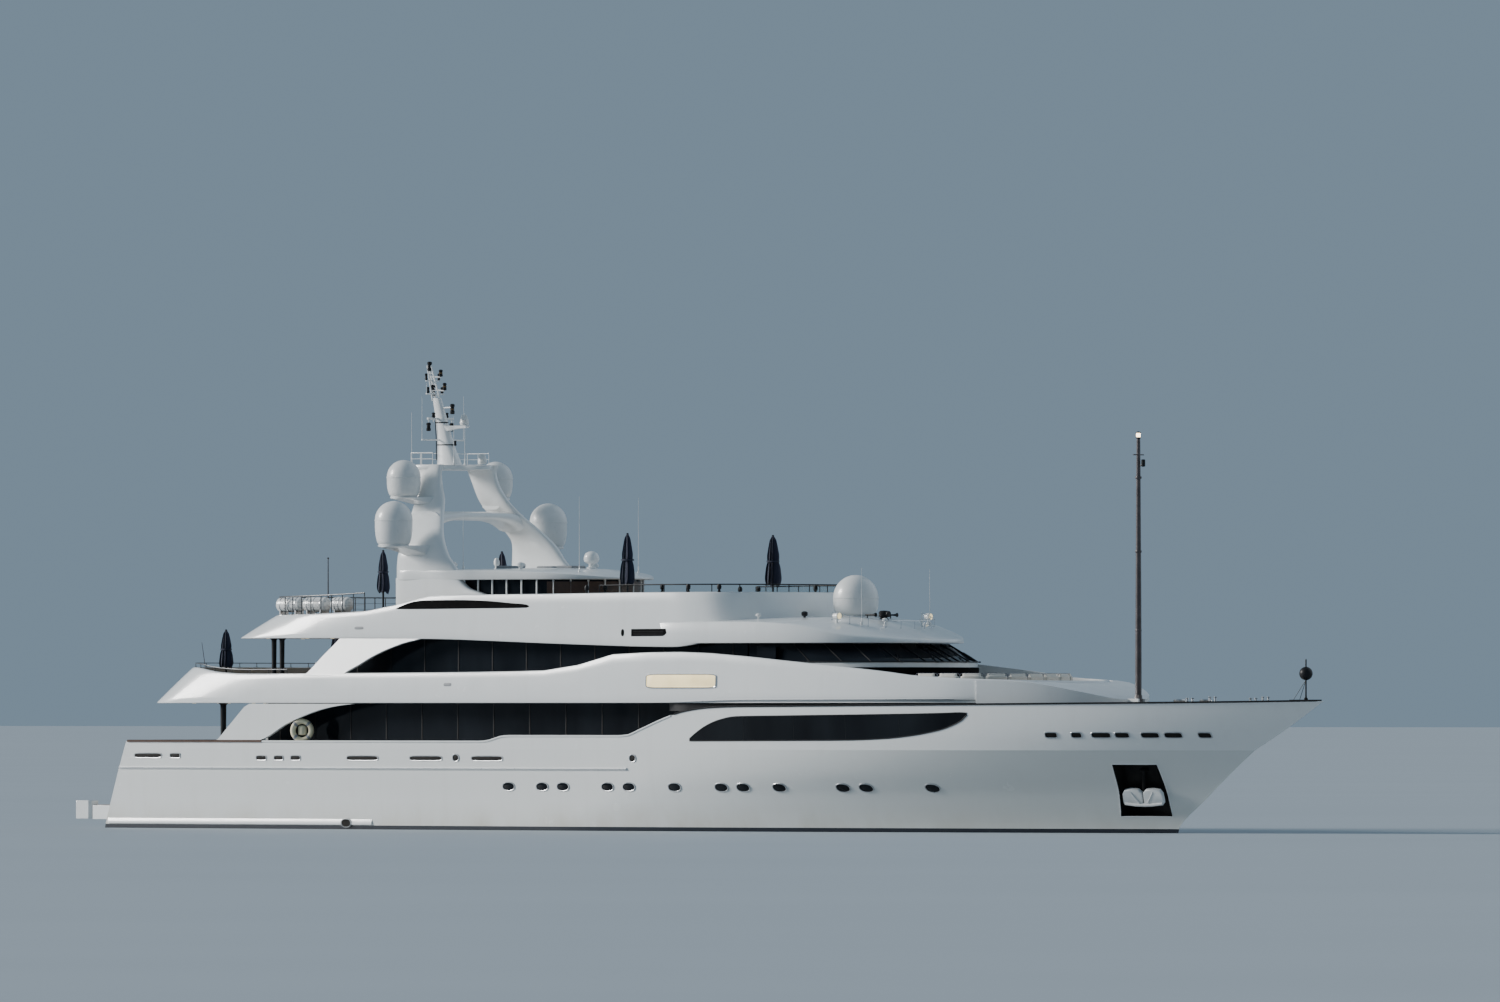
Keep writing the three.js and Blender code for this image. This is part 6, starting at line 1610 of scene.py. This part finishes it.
def mooring_gear():
    b, d = Build(), Build()
    for s in (-1, 1):
        x, y = 24.9, s * 0.85
        block(b, x - 0.45, x + 0.45, y - 0.3, y + 0.3, 4.35, 4.62, 0.05)
        b.lathe([(0.1, -0.34), (0.27, -0.32), (0.3, -0.26), (0.2, -0.2), (0.2, 0.02), (0.3, 0.08), (0.33, 0.14), (0.3, 0.2), (0.12, 0.24)], (x, y, 4.92), 24, "y")
        b.lathe([(0.16, 4.6), (0.16, 5.05), (0.22, 5.1), (0.2, 5.22), (0.26, 5.38), (0.22, 5.43), (0.02, 5.44)], (x - 0.05, y, 0), 22)
        for px, py in ((26.5, 0.95), (20.2, 3.35), (-27.4, 4.55), (-22.0, 5.15)):
            z = 4.35 if px > 0 else 2.6
            for o in (-0.22, 0.22):
                d.lathe([(0.1, 0), (0.1, 0.28), (0.13, 0.3), (0.13, 0.34), (0.02, 0.36)], (px + o, s * py, z + 0.03), 16)
            block(d, px - 0.42, px + 0.42, s * py - 0.14, s * py + 0.14, z, z + 0.05, 0.02)
        # roller fairleads on the capping
        for px, h in ((26.35, 0.16), (27.25, 0.2)):
            c = Vector((px, s * (half(px, 5.25) - 0.08), sheer(px)))
            for o in (-0.14, 0.14):
                d.lathe([(0.07, 0.04), (0.05, 0.06), (0.05, h), (0.07, h + 0.02), (0.07, h + 0.04)], c + Vector((o, 0, 0)), 12)
        # chain from the windlass to the hawse pipe
        a, e = Vector((x - 0.3, y, 4.72)), Vector((23.75, s * 1.3, 4.42))
        n = 16
        t = (e - a).normalized()
        for i in range(n):
            c = a.lerp(e, (i + 0.5) / n)
            u = UP.cross(t).normalized() if i % 2 else t.cross(UP.cross(t)).normalized()
            L = (e - a).length / n
            ring = [c + t * math.cos(v) * L * 0.72 + u * math.sin(v) * 0.05 for v in (2 * math.pi * j / 14 for j in range(14))]
            d.tube(ring, 0.018, 6, closed=True)
        d.lathe([(0.2, 0), (0.22, 0.04), (0.16, 0.08), (0.12, 0.04), (0.12, 0.0)], (23.7, s * 1.32, 4.35), 24)
    b.piece("windlasses", "steel", "steel")
    d.piece("bollards_and_chain", "steel", "steel")
    h = Build()
    block(h, 27.3, 27.9, -0.32, 0.32, 4.35, 4.47, 0.04)
    block(h, 22.6, 23.3, -0.35, 0.35, 4.35, 4.48, 0.04)
    h.piece("deck_hatches", "white_paint", "white_paint")
    t = Build()
    t.prism([(-31.08, 0), (-31.08, 4.15), (-30.95, 4.62), (-30.66, 4.9), (-29.75, 4.98), (-29.62, 4.9), (-29.62, 0), (-29.62, -4.9), (-29.75, -4.98), (-30.66, -4.9), (-30.95, -4.62), (-31.08, -4.15)], lambda x, y: (x, y, 0.945), lambda x, y: (x, y, 0.965))
    t.piece("swim_platform_planking", "teak", "teak")
    s = Build()
    xt = lambda z: transom(z) - 0.006
    path = []
    q = [(-2.5, 1.12), (2.5, 1.12), (2.5, 2.42), (-2.5, 2.42)]
    for i in range(4):
        a, c = q[i], q[(i + 1) % 4]
        for k in range(8):
            y, z = a[0] + (c[0] - a[0]) * k / 8, a[1] + (c[1] - a[1]) * k / 8
            path.append((xt(z), y, z))
    s.tube(path, 0.014, 6, closed=True)
    for y in (-2.9, -1.0, 1.0, 2.9):
        s.lathe([(0.05, 0), (0.06, 0.012), (0.03, 0.02)], (transom(2.9) - 0.015, y, 2.9), 14, "x")
    s.piece("stern_door_seal", "dark_trim", "dark_trim")
    c = Build()
    for sgn in (-1, 1):
        xs = [-28.42 + 7.85 * i / 20 for i in range(21)]
        c.sweep([Vector((x, sgn * (half(x, 3.67) - 0.08), 3.67)) for x in xs], [(-0.13 * sgn, -0.035), (-0.135 * sgn, 0.03), (-0.1 * sgn, 0.065), (0.1 * sgn, 0.065), (0.135 * sgn, 0.03), (0.13 * sgn, -0.035)])
    c.sweep([Vector((transom(3.67) + 0.1, y, 3.67)) for y in (-3.58, -2, 0, 2, 3.58)], [(-0.13, -0.03), (-0.13, 0.03), (-0.1, 0.065), (0.1, 0.065), (0.13, 0.03), (0.13, -0.03)])
    c.piece("aft_capping", "stove_brown", "teak")


mooring_gear()


# ---------------------------------------------------------------- soft goods
def cushion_form(name, lx, ly, lz, seed):
    """One cushion at its real size, swollen by air pressure as cloth; returned in its own box's units."""
    bm = bmesh.new()
    bmesh.ops.create_cube(bm, size=1.0)
    bmesh.ops.scale(bm, vec=(lx * 0.94, ly * 0.94, lz * 0.86), verts=bm.verts)
    bmesh.ops.bevel(bm, geom=bm.edges[:], offset=lz * 0.22, segments=3, affect="EDGES")
    me = bpy.data.meshes.new(name)
    bm.to_mesh(me)
    bm.free()
    ob = bpy.data.objects.new(name, me)
    COLL.objects.link(ob)
    r = ob.modifiers.new("remesh", "REMESH")
    r.mode, r.voxel_size = "VOXEL", 0.0125
    dg = bpy.context.evaluated_depsgraph_get()
    grid = bpy.data.meshes.new_from_object(ob.evaluated_get(dg))
    ob.modifiers.clear()
    ob.data = grid
    start = [v.co.copy() for v in grid.vertices]
    m = ob.modifiers.new("cloth", "CLOTH")
    st_ = m.settings
    st_.quality = 4
    st_.mass = 0.2
    st_.tension_stiffness = st_.compression_stiffness = 12
    st_.shear_stiffness, st_.bending_stiffness = 4, 0.12
    st_.use_pressure = True
    st_.uniform_pressure_force = 4.0
    st_.effector_weights.gravity = 0
    m.collision_settings.use_self_collision = False
    scene = bpy.context.scene
    m.point_cache.frame_start, m.point_cache.frame_end = 1, 20
    for f in range(1, 21):
        scene.frame_set(f)
    dg = bpy.context.evaluated_depsgraph_get()
    blown = bpy.data.meshes.new_from_object(ob.evaluated_get(dg))
    co = [v.co.copy() for v in blown.vertices]
    scene.frame_set(1)
    ob.modifiers.clear()
    bpy.data.meshes.remove(blown)
    cap = 0.016
    out = []
    for a, b_ in zip(start, co):
        d = b_ - a
        out.append(a + (d if d.length < cap else d.normalized() * cap))
    faces = [tuple(p.vertices) for p in grid.polygons]
    bpy.data.objects.remove(ob)
    ex = [max(abs(v[k]) for v in out) * 2 for k in range(3)]
    return [(v.x / ex[0], v.y / ex[1], v.z / ex[2]) for v in out], faces


SEAT = cushion_form("seat_form", 0.5, 0.38, 0.1, 3)
BACK = cushion_form("back_form", 0.5, 0.13, 0.24, 5)


def along(path, closed=False):
    P = [Vector((p[0], p[1], 0)) for p in path]
    L = [0.0]
    for a, c in zip(P, P[1:]):
        L.append(L[-1] + (c - a).length)

    def at(s, q):
        s = min(max(s, 0.001), L[-1] - 0.001)
        k = 0
        while L[k + 1] < s:
            k += 1
        t = (s - L[k]) / (L[k + 1] - L[k])
        a, c = P[max(k - 1, 0)], P[min(k + 2, len(P) - 1)]
        d0 = (P[k + 1] - P[max(k - 1, 0)]).normalized()
        d1 = (P[min(k + 2, len(P) - 1)] - P[k]).normalized()
        d = (d0 * (1 - t) + d1 * t).normalized()
        p = P[k].lerp(P[k + 1], t)
        return Vector((p.x - d.y * q, p.y + d.x * q, 0))

    return at, L[-1]


def cushions(b, form, path, depth, z0, z1, each, lean=0.0, gap=0.02):
    verts, faces = form
    at, total = along(path)
    n = max(1, round(total / each))
    L = total / n
    for i in range(n):
        s0 = L * (i + 0.5)
        b.mi = 0
        b.add([at(s0 + v[0] * (L - gap), v[1] * depth + lean * (v[2] + 0.5)) + UP * (z0 + (v[2] + 0.5) * (z1 - z0)) for v in verts], faces)
        seam = []
        for j in range(48):
            q = 2 * math.pi * j / 48
            c, s = math.cos(q), math.sin(q)
            u, w = math.copysign(abs(c) ** 0.22, c) * 0.5, math.copysign(abs(s) ** 0.22, s) * 0.5
            if form is SEAT:
                seam.append(at(s0 + u * (L - gap), w * depth * 1.0) + UP * (z0 + (z1 - z0) * 0.5))
            else:
                seam.append(at(s0 + u * (L - gap), lean * (w + 0.5)) + UP * (z0 + (w + 0.5) * (z1 - z0)))
        b.mi = 1
        b.tube(seam, 0.010, 6, closed=True)
    return b


def settee(name, node, seat_path, back_path, base_outer, base_inner, z):
    base = Build()
    o = [Vector((x, y, 0)) for x, y in base_outer]
    i_ = [Vector((x, y, 0)) for x, y in base_inner]
    ring = o + [Vector((p.x, -p.y, 0)) for p in reversed(o)] + [Vector((p.x, -p.y, 0)) for p in i_] + [Vector((p.x, p.y, 0)) for p in reversed(i_)]
    base.prism([(p.x, p.y) for p in ring], lambda x, y: (x, y, z + 0.002), lambda x, y: (x, y, z + 0.29))
    base.piece(name + "_base", "white_paint", "white_paint", replaces=node, bevel=0.02, angle=30)
    def round_(half_):
        h = [Vector((x, y, 0)) for x, y in half_]
        return spline([(p.x, p.y, 0) for p in h] + [(p.x, -p.y, 0) for p in reversed(h[:-1])], 6)
    s = cushions(Build(), SEAT, round_(seat_path), 0.76, z + 0.285, z + 0.485, 1.0)
    ob = s.piece(name + "_seat_cushions", ["cushion_fabric", "piping"], "cushion_fabric", angle=80, merge=False)
    k = cushions(Build(), BACK, round_(back_path), 0.25, z + 0.47, z + (0.985 if "fore" in name else 0.895), 1.0)
    ob = k.piece(name + "_back_cushions", ["cushion_fabric", "piping"], "cushion_fabric", angle=80, merge=False)


M["piping"] = cloth("piping_cord", (0.10, 0.11, 0.15), (0.14, 0.15, 0.19), 90, 0.2)
settee("foredeck_settee", "foredeck_settee", [(13.42, 3.24), (15.02, 2.90), (15.8, 2.46), (16.3, 1.8), (16.54, 1.0), (16.6, 0.0)], [(13.42, 3.74), (15.14, 3.35), (16.08, 2.86), (16.73, 2.12), (17.03, 1.15), (17.08, 0.0)],
       [(13.4, 3.86), (15.18, 3.46), (16.16, 2.97), (16.85, 2.18), (17.15, 1.2), (17.2, 0.4)], [(13.4, 2.94), (14.92, 2.64), (15.64, 2.23), (16.04, 1.62), (16.24, 0.92), (16.29, 0.3)], 5.5)
settee("sun_deck_settee", "sun_deck_settee", [(1.42, 4.05), (2.93, 3.96), (3.58, 3.42), (4.04, 2.6), (4.35, 1.4), (4.42, 0.0)], [(1.42, 4.54), (3.1, 4.44), (3.96, 3.74), (4.49, 2.87), (4.84, 1.55), (4.93, 0.0)],
       [(1.4, 4.66), (3.18, 4.56), (4.06, 3.82), (4.6, 2.92), (4.95, 1.6), (5.05, 0.5)], [(1.4, 3.76), (2.87, 3.66), (3.39, 3.18), (3.79, 2.42), (4.06, 1.32), (4.12, 0.42)], 8.2)


def parasol(place, side, tag, x, y, z, h, hem, r, seed):
    node = f"parasol_{place}_{tag}"
    y = side * y
    hw = Build()
    hw.lathe([(0.05, 0.002), (0.3, 0.002), (0.32, 0.02), (0.31, 0.075), (0.27, 0.09), (0.07, 0.11), (0.06, 0.2), (0.042, 0.22), (0.042, 0.72), (0.075, 0.74), (0.075, 1.0), (0.042, 1.02), (0.042, hem + 0.3)] if hem > 1.1 else [(0.05, 0.002), (0.3, 0.002), (0.32, 0.02), (0.31, 0.075), (0.27, 0.09), (0.07, 0.11), (0.06, 0.2), (0.042, 0.22), (0.042, hem + 0.3)], (x, y, z), 28)
    hw.lathe([(0.035, 0), (0.05, 0.015), (0.05, 0.05), (0.02, 0.07)], (x, y, z + h - 0.07), 14)
    hw.piece(node + "_stand", "dark_trim", "dark_trim")
    rnd = random.Random(seed)
    N, Q, L = 9, 12, 46
    R = table([(0, r * 0.80), (0.05, r * 0.90), (0.13, r * 0.985), (0.25, r * 0.93), (0.38, r * 0.83), (0.455, r * 0.70), (0.475, r * 0.66), (0.5, r * 0.70), (0.58, r * 0.72), (0.72, r * 0.61), (0.85, r * 0.47), (0.93, r * 0.36), (0.975, r * 0.21), (1.0, 0.055)])
    amp = [rnd.uniform(0.82, 1.0) for _ in range(N)]
    ph = [rnd.uniform(-0.1, 0.1) for _ in range(N)]
    drop = [rnd.uniform(0.0, 0.13) for _ in range(N)]
    verts = []
    for k in range(L + 1):
        t = k / L
        ro = R(t)
        ri = min(max(0.055, ro * 0.34), ro * 0.95)
        for j in range(N * Q):
            i, g = divmod(j, Q)
            g = g / Q
            w = 1 - abs(2 * g - 1)
            i2 = (i + 1) % N
            a = amp[i]
            rr = ri + (ro * a - ri) * (w**0.75)
            q = 2 * math.pi * (i + g + ph[i] * w) / N + 1.5 * (rr - ri) / r + 0.5 * t
            zz = z + hem + (h - 0.05 - hem) * t - (1 - t) ** 7 * (drop[i] * w - 0.06 * (1 - w))
            verts.append((x + rr * math.cos(q), y + rr * math.sin(q), zz))
    n = N * Q
    faces = [(k * n + j, k * n + (j + 1) % n, (k + 1) * n + (j + 1) % n, (k + 1) * n + j) for k in range(L) for j in range(n)]
    c = Build()
    c.add(verts, faces)
    ob = c.piece(node + "_canopy", "navy_fabric", "navy_fabric", replaces=node, angle=85)
    area = sum(p.area for p in ob.data.polygons)
    s = ob.modifiers.new("cloth_thickness", "SOLIDIFY")
    s.thickness, s.offset = 0.002, -1
    w = math.sqrt(area / 0.83)
    tie = Build()
    ring = [(x + R(0.475) * 1.04 * math.cos(q), y + R(0.475) * 1.04 * math.sin(q), z + hem + (h - hem) * 0.47) for q in (2 * math.pi * i / 32 for i in range(32))]
    tie.sweep(ring, [(-0.012, -0.035), (0.012, -0.035), (0.012, 0.035), (-0.012, 0.035)], closed=True)
    strap = tie.piece(node + "_tie", "tie_fabric", "navy_fabric")


M["tie_fabric"] = cloth("tie_webbing", (0.016, 0.019, 0.040), (0.022, 0.026, 0.050), 90, 0.15)
for q_, (side, tag) in enumerate(((-1, "starboard"), (1, "port"))):
    parasol("upper_deck", side, tag, -24.5, 3.5, 5.5, 2.9, 1.3, 0.34, 11 + q_)
    parasol("sun_deck_aft", side, tag, -15.4, 3.8, 8.2, 3.5, 1.75, 0.32, 21 + q_)
    parasol("sun_deck_fore", side, tag, -1.2, 4.68, 8.2, 4.1, 2.0, 0.38, 31 + q_)


# ---------------------------------------------------------------- floor, light, background
me = bpy.data.meshes.new("floor")
S = 1500.0
me.from_pydata([(-S, -S, 0), (S, -S, 0), (S, S, 0), (-S, S, 0)], [], [(0, 1, 2, 3)])
g = Graph("pale_floor", (0.37, 0.42, 0.46), 0.6)
g.color(g.mix(g.ramp(g.noise(0.05, 3), 0.3, 0.7), (0.37, 0.42, 0.46), (0.35, 0.40, 0.44)))
me.materials.append(g.m)
floor = bpy.data.objects.new("floor", me)
COLL.objects.link(floor)
world = bpy.data.worlds.new("studio")
bpy.context.scene.world = world
world.use_nodes = True
nt = world.node_tree
bg = nt.nodes["Background"]
bg.inputs[0].default_value = (0.27, 0.38, 0.49, 1)
bg.inputs[1].default_value = 0.68


def sun(name, direction, energy, angle, color=(1, 1, 1)):
    l = bpy.data.lights.new(name, "SUN")
    l.energy, l.angle, l.color = energy, math.radians(angle), color
    o = bpy.data.objects.new(name, l)
    COLL.objects.link(o)
    o.rotation_euler = Vector(direction).to_track_quat("-Z", "Y").to_euler()


sun("key", (0.78, 0.52, -0.35), 4.3, 20, (1.0, 0.98, 0.95))
sun("fill", (-0.35, -0.7, -0.45), 0.6, 70, (0.86, 0.93, 1.0))
